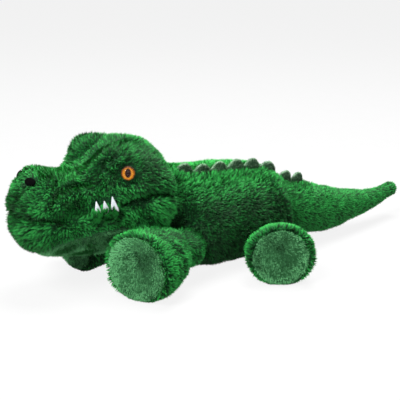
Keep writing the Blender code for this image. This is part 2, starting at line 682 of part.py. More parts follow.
def build():
    clear_scene()
    materials = {
        "plush": finish("plush", PLUSH, 0.95),
        "velour": finish("velour", VELOUR, 0.85),
        "felt": finish("felt", FELT, 0.95),
        "white_felt": finish("white_felt", (0.82, 0.84, 0.82), 0.9),
        "nostril": finish("nostril", (0.006, 0.010, 0.008), 0.7),
        "eye_backing": finish("eye_backing", (0.008, 0.006, 0.005), 0.35),
        "iris": finish("iris", (0.85, 0.28, 0.02), 0.4),
        "eye_dome": finish("eye_dome", (0.95, 0.85, 0.70), 0.05, alpha=0.35),
        "washer": finish("washer", (0.75, 0.75, 0.72), 0.5),
    }
    floor = cutter("floor_cut", floor_block())

    neck = Vector((0, NECK_Y, NECK_Z))
    body = place("body", body_form(), materials["plush"])
    ground_tree = tree_of(body)

    head = place("head", head_form(), materials["plush"], neck)
    head_tree = tree_of(head)
    jaw = place("lower_jaw", jaw_form(), materials["plush"], neck)
    socket = cutter("neck_cut", ball(neck, NECK_RADIUS + TURN_GAP, 14, 24))
    cut(head, socket)
    cut(jaw, socket)

    tail_root = tail_frames()[0][0]
    tail = place("tail", tail_form(), materials["plush"], tail_root)
    tail_room = cutter("tail_cut", ball(tail_root, TAIL_ROOT_RADIUS + TURN_GAP, 14, 24))
    cut(body, tail_room)

    jaw_room = cutter("jaw_room", jaw_form(PRESS_GAP))
    fore, hind = FRONT_ROOT_RADIUS, REAR_ROOT_RADIUS
    legs = [
        Leg("front_leg_left", (FRONT_ROOT_X, FRONT_ROOT_Y + CHEST_TURN, FRONT_ROOT_Z), fore,
            math.radians(24.5), math.radians(31), FRONT_LEG_LENGTH, FRONT_PAW_RADIUS),
        Leg("front_leg_right", (-FRONT_ROOT_X, FRONT_ROOT_Y - CHEST_TURN, FRONT_ROOT_Z), fore,
            math.radians(-4), math.radians(12), FRONT_LEG_LENGTH, FRONT_PAW_RADIUS),
        Leg("rear_leg_left", (REAR_ROOT_X, REAR_ROOT_Y, REAR_ROOT_Z), hind,
            math.radians(64), math.radians(60), REAR_LEG_LENGTH, REAR_PAW_RADIUS),
        Leg("rear_leg_right", (-REAR_ROOT_X, REAR_ROOT_Y, REAR_ROOT_Z), hind,
            math.radians(-64), math.radians(-60), REAR_LEG_LENGTH, REAR_PAW_RADIUS),
    ]
    for leg in legs:
        limb = place(leg.name, leg.form(), materials["plush"], leg.root)
        cut(limb, floor)
        if leg.root.y < 0:
            cut(limb, jaw_room)
        sole = place(leg.name.replace("leg", "sole"), leg.sole(), materials["velour"], leg.root)
        cut(sole, floor)
        if leg.root.y < 0:
            cut(sole, jaw_room)
        cut(body, cutter(leg.name + "_cut", ball(leg.root, leg.root_radius + TURN_GAP, 14, 24)))

    belly_angle, chin_angle = math.radians(BELLY_PANEL_TURN), math.radians(CHIN_PANEL_TURN)
    panel = place("belly_panel", panel_form(body_point, BELLY_PANEL_SHARES, belly_angle, 9, 5),
                  materials["velour"])
    room = panel_form(body_point, BELLY_PANEL_SHARES, belly_angle, 9, 5, BODY_LENGTH)
    cut(body, cutter("belly_cut", room))
    cut(panel, floor)
    cut(body, floor)

    place("chin_panel", panel_form(jaw_point, CHIN_PANEL_SHARES, chin_angle, 10, 9),
          materials["velour"], neck)
    room = panel_form(jaw_point, CHIN_PANEL_SHARES, chin_angle, 10, 9, HEAD_LENGTH)
    cut(jaw, cutter("chin_cut", room))

    body_end = NECK_Y + BODY_LENGTH
    back_last = body_end - BACK_RIDGE_STOP
    ridge_front = back_last - BACK_SCUTES * BACK_PITCH
    tail_first = body_end + TAIL_RIDGE_STOP
    ridge_end = tail_first + TAIL_SCUTES * TAIL_PITCH

    def ridge_x(y):
        """The ridge runs beside the crown and comes to the middle on the tail."""
        settled = min(max((y - ridge_front) / (ridge_end - ridge_front), 0), 1)
        return RIDGE_X * math.sqrt(max(math.cos(settled * math.pi / 2), 0))

    for name, carrier, tree, first, last, scutes in (
        ("back_ridge", body, ground_tree, ridge_front, back_last, BACK_SCUTES),
        ("tail_ridge", tail, tree_of(tail), tail_first, ridge_end, TAIL_SCUTES),
    ):
        rows = ridge_lines(tree, first, last, scutes, ridge_x)
        strip = place(name, ridge(rows), materials["felt"])
        cut(carrier, cutter(name + "_cut", ridge(rows, SEAM_GAP)))
        if carrier is body:
            cut(strip, tail_room)

    for side, label in ((1, "left"), (-1, "right")):
        build_eye(side, label, head, head_tree, materials)
        nostril_z = CHIN_LIFT + NOSTRIL_HEIGHT_SHARE * HEAD_HEIGHT
        ahead = Vector((side * NOSTRIL_X, -FLOOR_REACH, nostril_z))
        nostril_spot, normal, _, _ = head_tree.ray_cast(ahead, Vector((0, 1, 0)))
        frame = eye_frame(nostril_spot, normal)
        shape = (NOSTRIL_LENGTH, NOSTRIL_HEIGHT, NOSTRIL_DEPTH)
        place(f"nostril_{label}", lens_shape(frame, *shape), materials["nostril"], neck)
        cut(head, cutter(f"nostril_cut_{label}", lens_shape(frame, *shape, SEAM_GAP)))
        build_teeth(side, label, head, jaw, materials["white_felt"])


build()
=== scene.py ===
"""A plush crocodile in long green pile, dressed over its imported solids."""

import json
import math

import bmesh
import bpy
import numpy as np
from mathutils import Matrix, Vector
from mathutils.bvhtree import BVHTree


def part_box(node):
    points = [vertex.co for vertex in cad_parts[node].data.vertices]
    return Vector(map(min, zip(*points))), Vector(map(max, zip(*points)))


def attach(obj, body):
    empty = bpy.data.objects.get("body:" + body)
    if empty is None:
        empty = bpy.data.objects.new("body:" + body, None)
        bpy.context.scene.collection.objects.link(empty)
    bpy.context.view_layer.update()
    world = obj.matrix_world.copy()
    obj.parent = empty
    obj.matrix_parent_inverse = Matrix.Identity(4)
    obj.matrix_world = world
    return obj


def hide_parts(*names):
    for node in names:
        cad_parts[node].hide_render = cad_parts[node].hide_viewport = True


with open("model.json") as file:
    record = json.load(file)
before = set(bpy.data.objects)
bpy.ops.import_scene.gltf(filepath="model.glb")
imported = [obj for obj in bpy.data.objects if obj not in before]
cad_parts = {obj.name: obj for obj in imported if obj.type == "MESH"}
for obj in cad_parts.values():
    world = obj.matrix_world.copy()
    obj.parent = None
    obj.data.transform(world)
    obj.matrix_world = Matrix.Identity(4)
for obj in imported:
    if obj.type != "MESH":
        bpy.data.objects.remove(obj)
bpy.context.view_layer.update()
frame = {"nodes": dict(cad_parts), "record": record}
scene = bpy.context.scene
scene.view_settings.view_transform = "Standard"

# The viewpoint: a long lens beside the toy's left cheek, a little above its back.
# The toy sits slightly right of and below the middle of the picture.
PICTURE = 400
FOCAL_PIXELS = 861.5
SENSOR = 36.0
AIM = Vector((0, 0, 0.038))
AIM_PIXELS_OFF = 15
DISTANCE = 0.712
azimuth, elevation = math.radians(60), math.radians(17)
towards_lens = Vector((
    math.sin(azimuth) * math.cos(elevation),
    -math.cos(azimuth) * math.cos(elevation),
    math.sin(elevation),
))
lens = bpy.data.cameras.new("lens")
lens.lens = FOCAL_PIXELS / PICTURE * SENSOR
lens.sensor_width = SENSOR
lens.shift_x = -AIM_PIXELS_OFF / PICTURE
lens.shift_y = AIM_PIXELS_OFF / PICTURE
camera = bpy.data.objects.new("camera", lens)
camera.location = AIM + towards_lens * DISTANCE
camera.rotation_euler = (-towards_lens).to_track_quat("-Z", "Y").to_euler()
scene.collection.objects.link(camera)
scene.camera = camera

# The setting: a white table in a white room, and soft lamps round it.
# The camera sees both as white paper, and the table keeps the toy's shadow. Its paper, like
# every finish after it, is a small node tree, written as sums on its sockets.
FLOOR_HALF = 6.0


class Tone:
    """One output of a material's node tree, on which arithmetic adds Math nodes."""

    def __init__(self, socket):
        self.socket = socket

    def node(self, kind, settings=(), values=(), output=0):
        tree = self.socket.id_data
        made = tree.nodes.new(kind)
        for name, value in dict(settings).items():
            if name == "stops":
                stops = made.color_ramp.elements
                while len(stops) < len(value):
                    stops.new(0.5)
                for stop, (place, colour) in zip(stops, value):
                    stop.position = place
                    stop.color = (*colour, 1.0)
            else:
                setattr(made, name, value)
        for name, value in dict(values).items():
            if isinstance(value, Tone):
                tree.links.new(value.socket, made.inputs[name])
            else:
                made.inputs[name].default_value = value
        return Tone(made.outputs[output])

    def maths(self, operation, first, second):
        return self.node("ShaderNodeMath", {"operation": operation}, {0: first, 1: second})

    def __add__(self, other):
        return self.maths("ADD", self, other)

    def __radd__(self, other):
        return self.maths("ADD", other, self)

    def __sub__(self, other):
        return self.maths("SUBTRACT", self, other)

    def __rsub__(self, other):
        return self.maths("SUBTRACT", other, self)

    def __mul__(self, other):
        return self.maths("MULTIPLY", self, other)

    def __rmul__(self, other):
        return self.maths("MULTIPLY", other, self)

    def __truediv__(self, other):
        return self.maths("DIVIDE", self, other)

    def __pow__(self, other):
        return self.maths("POWER", self, other)


def finish_named(name, roughness, **fixed):
    """A new material, its shader, and where its patterns start: the object's own coordinates."""
    material = bpy.data.materials.new(name)
    material.use_nodes = True
    shader = material.node_tree.nodes["Principled BSDF"]
    shader.inputs["Roughness"].default_value = roughness
    for socket, value in fixed.items():
        shader.inputs[socket.replace("_", " ")].default_value = value
    places = material.node_tree.nodes.new("ShaderNodeTexCoord").outputs["Object"]
    return material, shader, Tone(places)


def feed(shader, socket, tone):
    shader.id_data.links.new(tone.socket, shader.inputs[socket])


def mottle(shader, pattern, dark, light, low=0.3, high=0.7):
    """Colours a finish between two shades by a pattern."""
    feed(shader, "Base Color", pattern.node(
        "ShaderNodeValToRGB", {"stops": ((low, dark), (high, light))}, {"Fac": pattern}))


def roughen(shader, pattern, strength, distance):
    """Raises a finish by a pattern, as its fibres, threads or mould do."""
    feed(shader, "Normal", pattern.node(
        "ShaderNodeBump", values={"Height": pattern, "Strength": strength, "Distance": distance}))


def paper_finish(name, own_light):
    material, shader, places = finish_named(name, 0.9)
    grain = places.node("ShaderNodeTexNoise", values={"Vector": places, "Scale": 40.0, "Detail": 3.0})
    mottle(shader, grain, (0.46, 0.46, 0.46), (0.50, 0.50, 0.50))
    seen = places.node("ShaderNodeLightPath", output="Is Camera Ray")
    mirrored = places.node("ShaderNodeLightPath", output="Is Glossy Ray")
    through = places.node("ShaderNodeLightPath", output="Is Transmission Ray")
    direct = (seen + mirrored + through) * own_light
    glow = places.node("ShaderNodeEmission", values={"Color": (1, 1, 1, 1), "Strength": 1.0})
    both = places.node("ShaderNodeMixShader",
                       values={0: direct, 1: Tone(shader.outputs[0]), 2: glow})
    output = material.node_tree.nodes["Material Output"]
    material.node_tree.links.new(both.socket, output.inputs["Surface"])
    return material


bm = bmesh.new()
bmesh.ops.create_grid(bm, x_segments=8, y_segments=8, size=FLOOR_HALF)
floor_mesh = bpy.data.meshes.new("table_top")
bm.to_mesh(floor_mesh)
bm.free()
floor = bpy.data.objects.new("table_top", floor_mesh)
floor.data.materials.append(paper_finish("table_paper", 0.87))
scene.collection.objects.link(floor)

world = bpy.data.worlds.new("room")
world.use_nodes = True
scene.world = world
background = world.node_tree.nodes["Background"]
background.inputs["Color"].default_value = (1, 1, 1, 1)
room = Tone(background.outputs[0])
seen = room.node("ShaderNodeLightPath", output="Is Camera Ray")
mirrored = room.node("ShaderNodeLightPath", output="Is Glossy Ray")
direct = seen + mirrored * 0.35
world.node_tree.links.new((0.13 + direct * 0.87).socket, background.inputs["Strength"])

across_view = Vector((math.cos(azimuth), math.sin(azimuth), 0))
LAMPS = (
    ("key", -0.55, 1.00, 0.80, 0.7, 27.0),
    ("fill", 0.95, 0.55, 0.85, 0.9, 1.6),
    ("top", 0.15, 1.30, -0.20, 0.8, 30.0),
)
for name, right, up, near, size, watts in LAMPS:
    lamp = bpy.data.lights.new(name, "AREA")
    lamp.shape = "DISK"
    lamp.size = size
    lamp.energy = watts
    stand = bpy.data.objects.new(name, lamp)
    level_view = Vector((towards_lens.x, towards_lens.y, 0)).normalized()
    stand.location = AIM + across_view * right + Vector((0, 0, up)) + level_view * near
    stand.rotation_euler = (AIM - stand.location).to_track_quat("-Z", "Y").to_euler()
    scene.collection.objects.link(stand)

# The stuffed covers: woven backing filled with loose fibre, sewn inside out and turned.
# Each is its solid drawn even and soft again; the pile stands on it.
COVER_GRAIN = 0.0021
covers = {}


class Cover:
    """A stuffed form as arrays, so that folds, clearances and the lie of its pile can be kept."""

    def __init__(self, node, body, grain=COVER_GRAIN, softening=3):
        self.node, self.body = node, body
        source = frame["nodes"][node].data.copy()
        bm = bmesh.new()
        bm.from_mesh(source)
        bmesh.ops.remove_doubles(bm, verts=bm.verts[:], dist=0.00001)
        bm.to_mesh(source)
        bm.free()
        self.thing = bpy.data.objects.new(node + "_cover", source)
        scene.collection.objects.link(self.thing)
        even = self.thing.modifiers.new("even", "REMESH")
        even.mode = "VOXEL"
        even.voxel_size = grain
        drawn = bpy.data.meshes.new_from_object(
            self.thing.evaluated_get(bpy.context.evaluated_depsgraph_get()))
        self.thing.modifiers.clear()
        self.thing.data = drawn
        bm = bmesh.new()
        bm.from_mesh(drawn)
        for _ in range(softening):
            bmesh.ops.smooth_vert(bm, verts=bm.verts[:], factor=0.5,
                                  use_axis_x=True, use_axis_y=True, use_axis_z=True)
        bm.to_mesh(drawn)
        bm.free()
        drawn.shade_smooth()
        self.read()
        count = len(self.points)
        self.length = np.ones(count)
        self.growth = np.ones(count)
        self.comb = np.zeros((count, 3))
        self.clear = np.full(count, 1.0)
        self.tone = np.zeros(count)
        self.lean = np.ones(count)
        self.flat = np.ones(count)
        self.calm = np.zeros(count)
        covers[node] = self

    def read(self):
        mesh = self.thing.data
        self.points = np.empty(len(mesh.vertices) * 3, np.float32)
        mesh.vertices.foreach_get("co", self.points)
        self.points = self.points.reshape(-1, 3).astype(float)
        self.normals = np.empty(len(mesh.vertices) * 3, np.float32)
        mesh.vertex_normals.foreach_get("vector", self.normals)
        self.normals = self.normals.reshape(-1, 3).astype(float)
        mesh.calc_loop_triangles()
        self.triangles = np.empty(len(mesh.loop_triangles) * 3, np.int32)
        mesh.loop_triangles.foreach_get("vertices", self.triangles)
        self.triangles = self.triangles.reshape(-1, 3)

    def write(self):
        self.thing.data.vertices.foreach_set("co", self.points.astype(np.float32).ravel())
        self.thing.data.update()
        self.read()

    def press_out(self, height):
        """Moves each point along its normal by its own height."""
        self.points += self.normals * height[:, None]
        self.write()

    def dress(self, material, slot):
        """Gives the cover its finish, and puts it in place of its solid on its body."""
        self.thing.data.materials.clear()
        self.thing.data.materials.append(material)
        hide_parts(self.node)
        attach(self.thing, self.body)

    def away_from(self, spot):
        return np.linalg.norm(self.points - spot, axis=1)

    def reach(self, line):
        """Each point's distance to a drawn line, and how far along the line that is."""
        best = np.full(len(self.points), 1e9)
        along = np.zeros(len(self.points))
        for i, (a, b) in enumerate(zip(line, line[1:])):
            a, b = np.array(a), np.array(b)
            t = np.clip(((self.points - a) @ (b - a)) / ((b - a) @ (b - a)), 0, 1)
            away = np.linalg.norm(self.points - (a + t[:, None] * (b - a)), axis=1)
            nearer = away < best
            best[nearer] = away[nearer]
            along[nearer] = (i + t[nearer]) / (len(line) - 1)
        return best, along

    def fold(self, line, depth, width, puff=0.0, part=2.2, dark=0.42):
        """Pulls the cover in along a line, as a stitch does, puffs it beside it and parts the pile, with
        painted shade along the line and a painted highlight on the puffs.
        """
        away, along = self.reach(line)
        ends = np.sin(np.pi * np.clip(0.06 + 0.88 * along, 0, 1)) ** 0.5
        pull = depth * bell(away, width) * ends
        swell = puff * bell(away - 2.1 * width, 1.1 * width) * ends
        aside = self.points - self.nearest_on(line)
        aside /= np.linalg.norm(aside, axis=1)[:, None] + 1e-9
        self.comb += aside * (part * bell(away, 1.9 * width) * ends)[:, None]
        self.press_out(swell * self.flat - pull)
        self.length *= 1 - 0.62 * bell(away, 0.9 * width) * ends
        firm = min(depth / 0.0030, 1)
        # Painted shade along the fold, and a painted highlight on the puffs beside it.
        self.tone -= dark * firm * bell(away, 0.8 * width) * ends
        self.tone += 0.14 * firm * bell(away - 2.0 * width, width) * ends

    def nearest_on(self, line):
        """The spot on a drawn line that lies nearest each point."""
        best = np.full(len(self.points), 1e9)
        spots = np.zeros_like(self.points)
        for a, b in zip(line, line[1:]):
            a, b = np.array(a), np.array(b)
            t = np.clip(((self.points - a) @ (b - a)) / ((b - a) @ (b - a)), 0, 1)
            spot = a + t[:, None] * (b - a)
            away = np.linalg.norm(self.points - spot, axis=1)
            nearer = away < best
            best[nearer] = away[nearer]
            spots[nearer] = spot[nearer]
        return spots


def ripple(points, size, seed):
    """A smooth random value between about -1 and 1 at each point, with swells of this size."""
    dice = np.random.default_rng(seed)
    ways = dice.normal(size=(16, 3))
    ways *= (2 * np.pi / size * dice.uniform(0.5, 1.3, 16) / np.linalg.norm(ways, axis=1))[:, None]
    phases = dice.uniform(0, 2 * np.pi, 16)
    return np.sin(points @ ways.T + phases).sum(axis=1) / 3.2


def bell(away, reach):
    """1 where nothing is away, falling smoothly to nothing at about twice the reach."""
    return np.exp(-((away / reach) ** 2))


def solid_points(node):
    return np.array([tuple(v.co) for v in frame["nodes"][node].data.vertices])


def unit(rows):
    return rows / (np.linalg.norm(rows, axis=1)[:, None] + 1e-12)


def drawn_line(line):
    return line


def mirrored_line(line):
    return [(-x, y, z) for x, y, z in line]


def ramp_up(value, low, high):
    t = np.clip((value - low) / (high - low), 0, 1)
    return t * t * (3 - 2 * t)


BODIES = {node: body for body, nodes in frame["record"]["behaviour"]["bodies"].items() for node in nodes}
for node in ("body", "head", "lower_jaw", "tail", "front_leg_left", "front_leg_right",
             "rear_leg_left", "rear_leg_right"):
    Cover(node, BODIES[node])

# The loose fibre inside presses each cover out: a short cloth run under pressure from a
# slightly slack start, with no point let travel far.
FILLING_PRESSURE = 4.0
FILLING_FRAMES = 20
SLACK = 0.0006
MOST_TRAVEL = 0.0013
for cover in covers.values():
    cover.points -= cover.normals * SLACK
    cover.write()
    filling = cover.thing.modifiers.new("filling", "CLOTH")
    filling.settings.quality = 4
    filling.settings.use_pressure = True
    filling.settings.uniform_pressure_force = FILLING_PRESSURE
    filling.settings.effector_weights.gravity = 0
    filling.collision_settings.use_collision = False
for moment in range(1, FILLING_FRAMES + 1):
    scene.frame_set(moment)
graph = bpy.context.evaluated_depsgraph_get()
for cover in covers.values():
    pressed = np.empty(len(cover.points) * 3, np.float32)
    cover.thing.evaluated_get(graph).data.vertices.foreach_get("co", pressed)
    travel = pressed.reshape(-1, 3).astype(float) - cover.points
    far = np.linalg.norm(travel, axis=1)[:, None]
    cover.points += travel * np.minimum(1, MOST_TRAVEL / (far + 1e-9))
for cover in covers.values():
    cover.thing.modifiers.clear()
    cover.write()
scene.frame_set(1)

# How the pile lies: back along the body and down its sides, and outwards from the mouth.
for cover in covers.values():
    cover.comb[:] = (0, 0.5, -0.35)
head_cover, jaw_cover, tail_cover = covers["head"], covers["lower_jaw"], covers["tail"]
ahead = ramp_up(-head_cover.points[:, 1], 0.100, 0.125)
head_cover.comb[:, 1] += -1.2 * ahead
head_cover.comb[:, 2] += 0.5 * ramp_up(-head_cover.points[:, 1], 0.145, 0.168)
ahead = ramp_up(-jaw_cover.points[:, 1], 0.110, 0.165)
jaw_cover.comb[:] = (0, 0, -0.5)
jaw_cover.comb[:, 1] -= 1.3 * ahead
jaw_cover.comb[:, 1] += 0.7 * (1 - ahead)
tail_cover.comb[:] = (0, 1.0, -0.25)
tail_cover.length *= 1 - 0.30 * ramp_up(tail_cover.points[:, 1], 0.10, 0.20)

# Round a sole the cover swells a little over the seam, and its pile rolls over the edge.
SEAM_SWELL = 0.0018
TABLE_CLEAR = 0.0004
for side in ("left", "right"):
    for kind in ("front", "rear"):
        leg = covers[f"{kind}_leg_{side}"]
        sole = solid_points(f"{kind}_sole_{side}")
        sole_middle = sole.mean(axis=0)
        _, _, ways = np.linalg.svd(sole - sole_middle, full_matrices=False)
        ahead = ways[2] * np.sign(ways[2] @ (sole_middle - leg.points.mean(axis=0)))
        outward = leg.points - sole_middle
        depth = outward @ ahead
        radial = unit(outward - depth[:, None] * ahead)
        rim = (1 - ramp_up(-depth, 0.004, 0.014))[:, None]
        lip = (1 - ramp_up(-depth, 0.0015, 0.0045))[:, None]
        rolled = (radial * 0.6 + ahead * 0.5) * lip + (radial * 0.4 - ahead * 0.7) * (1 - lip)
        leg.comb[:] = rolled * rim + (np.array((0, 0, -0.4)) - ahead * 0.5) * (1 - rim)
        leg.points += radial * (SEAM_SWELL * (1 - ramp_up(-depth, 0.006, 0.014)))[:, None]
        leg.points[:, 2] = np.maximum(leg.points[:, 2], TABLE_CLEAR)
        leg.write()
        # The pile rolled over a sole's rim is painted lighter, a painted highlight.
        leg.tone += 0.24 * rim[:, 0]
        leg.length *= 1 + 0.5 * (1 - ramp_up(-depth, 0.0015, 0.0050))

# Folds that the stitching pulls into the toy, each along a drawn line: beside the muzzle, down
# each brow, under each eye, over the crown, between the chops, along the mouth's seam, behind
# the jaw, over the near leg and round the rump.
MUZZLE_FOLD = [(0.0260, -0.1157, 0.0867), (0.0250, -0.1185, 0.0849), (0.0227, -0.1235, 0.0847),
               (0.0223, -0.1302, 0.0838), (0.0233, -0.1362, 0.0829), (0.0253, -0.1415, 0.0808),
               (0.0270, -0.1456, 0.0777), (0.0279, -0.1484, 0.0740), (0.0288, -0.1471, 0.0696)]
BROW_FOLD = [(0.0098, -0.0783, 0.1092), (0.0154, -0.0880, 0.1091), (0.0250, -0.0967, 0.1082),
             (0.0292, -0.1013, 0.1056), (0.0285, -0.1054, 0.1025), (0.0260, -0.1088, 0.0999),
             (0.0223, -0.1126, 0.0956), (0.0232, -0.1155, 0.0912), (0.0246, -0.1165, 0.0880)]
EYE_FOLD = [(0.0234, -0.1119, 0.0960), (0.0278, -0.1091, 0.0960), (0.0315, -0.1053, 0.0950),
            (0.0332, -0.1018, 0.0921), (0.0349, -0.0984, 0.0883), (0.0362, -0.0936, 0.0861),
            (0.0372, -0.0872, 0.0853), (0.0379, -0.0832, 0.0862)]
CROWN_FOLD = [(-0.0163, -0.1168, 0.0928), (-0.0112, -0.1121, 0.0978), (-0.0090, -0.1056, 0.1039),
              (-0.0092, -0.0981, 0.1077), (-0.0177, -0.0881, 0.1092)]
BETWEEN_BROWS = [(0, -0.115, 0.095), (0, -0.100, 0.105), (0, -0.080, 0.110)]
CHOPS_FOLD = [(0.0280, -0.1450, 0.0640), (0.0280, -0.1415, 0.0620), (0.0295, -0.1374, 0.0610),
              (0.0308, -0.1335, 0.0591), (0.0308, -0.1298, 0.0555), (0.0299, -0.1266, 0.0524)]
LIP_SEAM = [(0.0308, -0.0981, 0.0673), (0.0324, -0.0935, 0.0685), (0.0340, -0.0870, 0.0705),
            (0.0349, -0.0792, 0.0726), (0.0356, -0.0728, 0.0733), (0.0358, -0.0648, 0.0728),
            (0.0349, -0.0591, 0.0704)]
FRONT_SEAM = [(0.0000, -0.1680, 0.0640), (0.0120, -0.1660, 0.0642), (0.0217, -0.1619, 0.0648),
              (0.0270, -0.1520, 0.0655), (0.0289, -0.1459, 0.0657), (0.0290, -0.1392, 0.0655),
              (0.0286, -0.1300, 0.0652), (0.0300, -0.1232, 0.0648), (0.0306, -0.1100, 0.0655),
              (0.0308, -0.0981, 0.0673)]
LOBE_FOLD = [(0.0361, -0.0795, 0.0720), (0.0373, -0.0827, 0.0667), (0.0361, -0.0791, 0.0581),
             (0.0329, -0.0727, 0.0492)]
LEG_ROLL = [(0.0609, -0.0888, 0.0490), (0.0668, -0.0855, 0.0449), (0.0721, -0.0820, 0.0361),
            (0.0733, -0.0779, 0.0243), (0.0700, -0.0790, 0.0120)]
LEG_TOP = [(0.0540, -0.0800, 0.0500), (0.0531, -0.0729, 0.0479), (0.0496, -0.0588, 0.0422),
           (0.0429, -0.0424, 0.0359)]
PAW_FOLD = [(0.0594, -0.0753, 0.0463), (0.0631, -0.0699, 0.0411), (0.0659, -0.0666, 0.0344),
            (0.0668, -0.0647, 0.0266), (0.0643, -0.0643, 0.0172)]
RUMP_FOLD = [(0.0150, 0.0370, 0.0700), (0.0222, 0.0391, 0.0653), (0.0306, 0.0405, 0.0569),
             (0.0350, 0.0437, 0.0465), (0.0362, 0.0452, 0.0347), (0.0350, 0.0450, 0.0250)]


def eye_seat(side):
    """The middle, the outward axis and the radius of an eye's iris."""
    iris, dome = solid_points(f"eye_iris_{side}"), solid_points(f"eye_dome_{side}")
    middle = iris.mean(axis=0)
    _, _, ways = np.linalg.svd(iris - middle, full_matrices=False)
    gaze = ways[2] * np.sign(ways[2] @ (dome.mean(axis=0) - middle))
    out = iris - middle
    return middle, gaze, np.linalg.norm(out - (out @ gaze)[:, None] * gaze, axis=1).max()


def round_eye(points, side):
    """How far points lie outside an eye's rim, how far out along its axis, and that axis."""
    middle, gaze, wide = eye_seat(side)
    out = points - middle
    height = out @ gaze
    return np.linalg.norm(out - height[:, None] * gaze, axis=1) - wide, height, gaze


for side in ("left", "right"):
    beyond, _, _ = round_eye(head_cover.points, side)
    head_cover.flat *= ramp_up(beyond, 0.002, 0.008)
for on_side, firm in ((drawn_line, 1.0), (mirrored_line, 0.45)):
    head_cover.fold(on_side(MUZZLE_FOLD), 0.0052 * firm, 0.0019, 0.0018 * firm, 1.5, 0.95 * firm)
    head_cover.fold(on_side(BROW_FOLD), 0.0036 * firm, 0.0018, 0.0014 * firm, 1.5, 0.65 * firm)
    head_cover.fold(on_side(EYE_FOLD), 0.0030 * firm, 0.0019, 0.0008, 1.5, 0.60 * firm)
    jaw_cover.fold(on_side(CHOPS_FOLD), 0.0034 * firm, 0.0024, 0.0012 * firm)
    jaw_cover.fold(on_side(LOBE_FOLD), 0.0030 * firm, 0.0036, 0.0018 * firm)
    for cover in (head_cover, jaw_cover):
        # Painted shade along the mouth's seams, where the pile is also cut shorter.
        for seam, wide, dark, short in ((LIP_SEAM, 0.0028, 0.75, 0.40), (FRONT_SEAM, 0.0022, 0.80, 0.35)):
            away, _ = cover.reach(on_side(seam))
            cover.tone -= dark * bell(away, wide)
            cover.length *= 1 - short * bell(away, wide)
head_cover.fold(CROWN_FOLD, 0.0036, 0.0028, 0.0010, dark=0.30)
head_cover.fold(BETWEEN_BROWS, 0.0030, 0.0060, dark=0)

near_leg = covers["front_leg_left"]
near_leg.fold(PAW_FOLD, 0.0030, 0.0024, 0.0012, 1.2, 0.30)
away, _ = near_leg.reach(LEG_ROLL)
roll = bell(away, 0.0042)
near_leg.press_out(0.0010 * roll)
# A painted highlight along the roll beside the near sole.
near_leg.tone += 0.34 * roll
near_leg.lean *= 1 - 0.45 * roll
for on_side in (drawn_line, mirrored_line):
    covers["body"].fold(on_side(RUMP_FOLD), 0.0036, 0.0018, 0.0024, 1.6, 0.75)

# The stuffing shows as soft rolls: the gum at each tooth, the lip over it, the far brow, the
# jaw's front, the banks beside the ridge and the far shoulder. The eyes stay seated in theirs.
GUM_ROLL = (0.0007, 0, 0.0019)
FLEW_ROLL = 0.0024
BROW_ROLL = 0.0042
JAW_ROLL = 0.0042
RIDGE_BANK = 0.0020
SHOULDER_ROLL = 0.0028
FAR_BROW = (-0.027, -0.108, 0.100)
NOSE_BRIDGE = (0.0, -0.140, 0.092)
JAW_FRONT = (0.0, -0.166, 0.054)
FAR_SHOULDER = (-0.014, -0.032, 0.076)
for side in ("left", "right"):
    for place in ("front", "middle", "rear"):
        low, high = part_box(f"tooth_{side}_{place}")
        gum = np.array(((low.x + high.x) / 2, (low.y + high.y) / 2, low.z))
        roll = bell(jaw_cover.away_from(gum), 0.0060)
        outward = 1.0 if side == "left" else -1.0
        jaw_cover.points += np.array((outward * GUM_ROLL[0], GUM_ROLL[1], GUM_ROLL[2])) * roll[:, None]
jaw_cover.write()
flew = [(x + 0.001, y, z - 0.0055) for x, y, z in MUZZLE_FOLD[1:8]]
for on_side in (drawn_line, mirrored_line):
    away, _ = head_cover.reach(on_side(flew))
    roll = bell(away, 0.0042)
    head_cover.press_out(FLEW_ROLL * roll)
    # The roll under the muzzle's fold is painted lighter, a painted highlight.
    head_cover.tone += 0.24 * roll
far_brow = bell(head_cover.away_from(FAR_BROW), 0.014)
head_cover.press_out(BROW_ROLL * far_brow)
head_cover.calm = np.maximum(head_cover.calm, 0.75 * far_brow ** 0.5)
head_cover.calm = np.maximum(head_cover.calm, 0.35 * ramp_up(head_cover.points[:, 2], 0.090, 0.104))
tail_cover.calm += 0.30
bridge = bell(head_cover.away_from(NOSE_BRIDGE), 0.020)
head_cover.calm = np.maximum(head_cover.calm, 0.45 * bridge)
# The nose bridge is painted lighter, a painted highlight.
head_cover.tone += 0.28 * bridge
jaw_front = bell(jaw_cover.away_from(JAW_FRONT), 0.017)
jaw_cover.press_out(JAW_ROLL * jaw_front)
for side in ("left", "right"):
    beyond, height, gaze = round_eye(head_cover.points, side)
    most = np.where(beyond < 0, -0.0010, 0.0002 + 0.60 * np.maximum(beyond - 0.0004, 0))
    proud = np.where((beyond < 0.008) & (height < 0.014), np.maximum(height - most, 0), 0)
    head_cover.points -= gaze * proud[:, None]
    head_cover.write()

for node, ridge in (("body", "back_ridge"), ("tail", "tail_ridge")):
    cover = covers[node]
    spine = solid_points(ridge)
    spine = spine[spine[:, 1].argsort()]
    beside = abs(cover.points[:, 0] - np.interp(cover.points[:, 1], spine[:, 1], spine[:, 0]))
    within = (ramp_up(cover.points[:, 1], spine[0, 1] - 0.006, spine[0, 1] + 0.003)
              * (1 - ramp_up(cover.points[:, 1], spine[-1, 1] - 0.003, spine[-1, 1] + 0.006)))
    bank = bell(beside, 0.010) * within * ramp_up(cover.normals[:, 2], 0.2, 0.6)
    cover.press_out(RIDGE_BANK * bank)
shoulder = bell(covers["body"].away_from(FAR_SHOULDER), 0.016)
covers["body"].press_out(SHOULDER_ROLL * shoulder)

for cover in covers.values():
    swell = cover.flat * (0.0003 * ripple(cover.points, 0.016, 5) + 0.0007 * ripple(cover.points, 0.045, 8))
    low = ramp_up(cover.points[:, 2], 0.002, 0.012)
    cover.press_out(swell * low)


def tree_of(points, triangles):
    return BVHTree.FromPolygons([Vector(p) for p in points], [tuple(t) for t in triangles.tolist()])


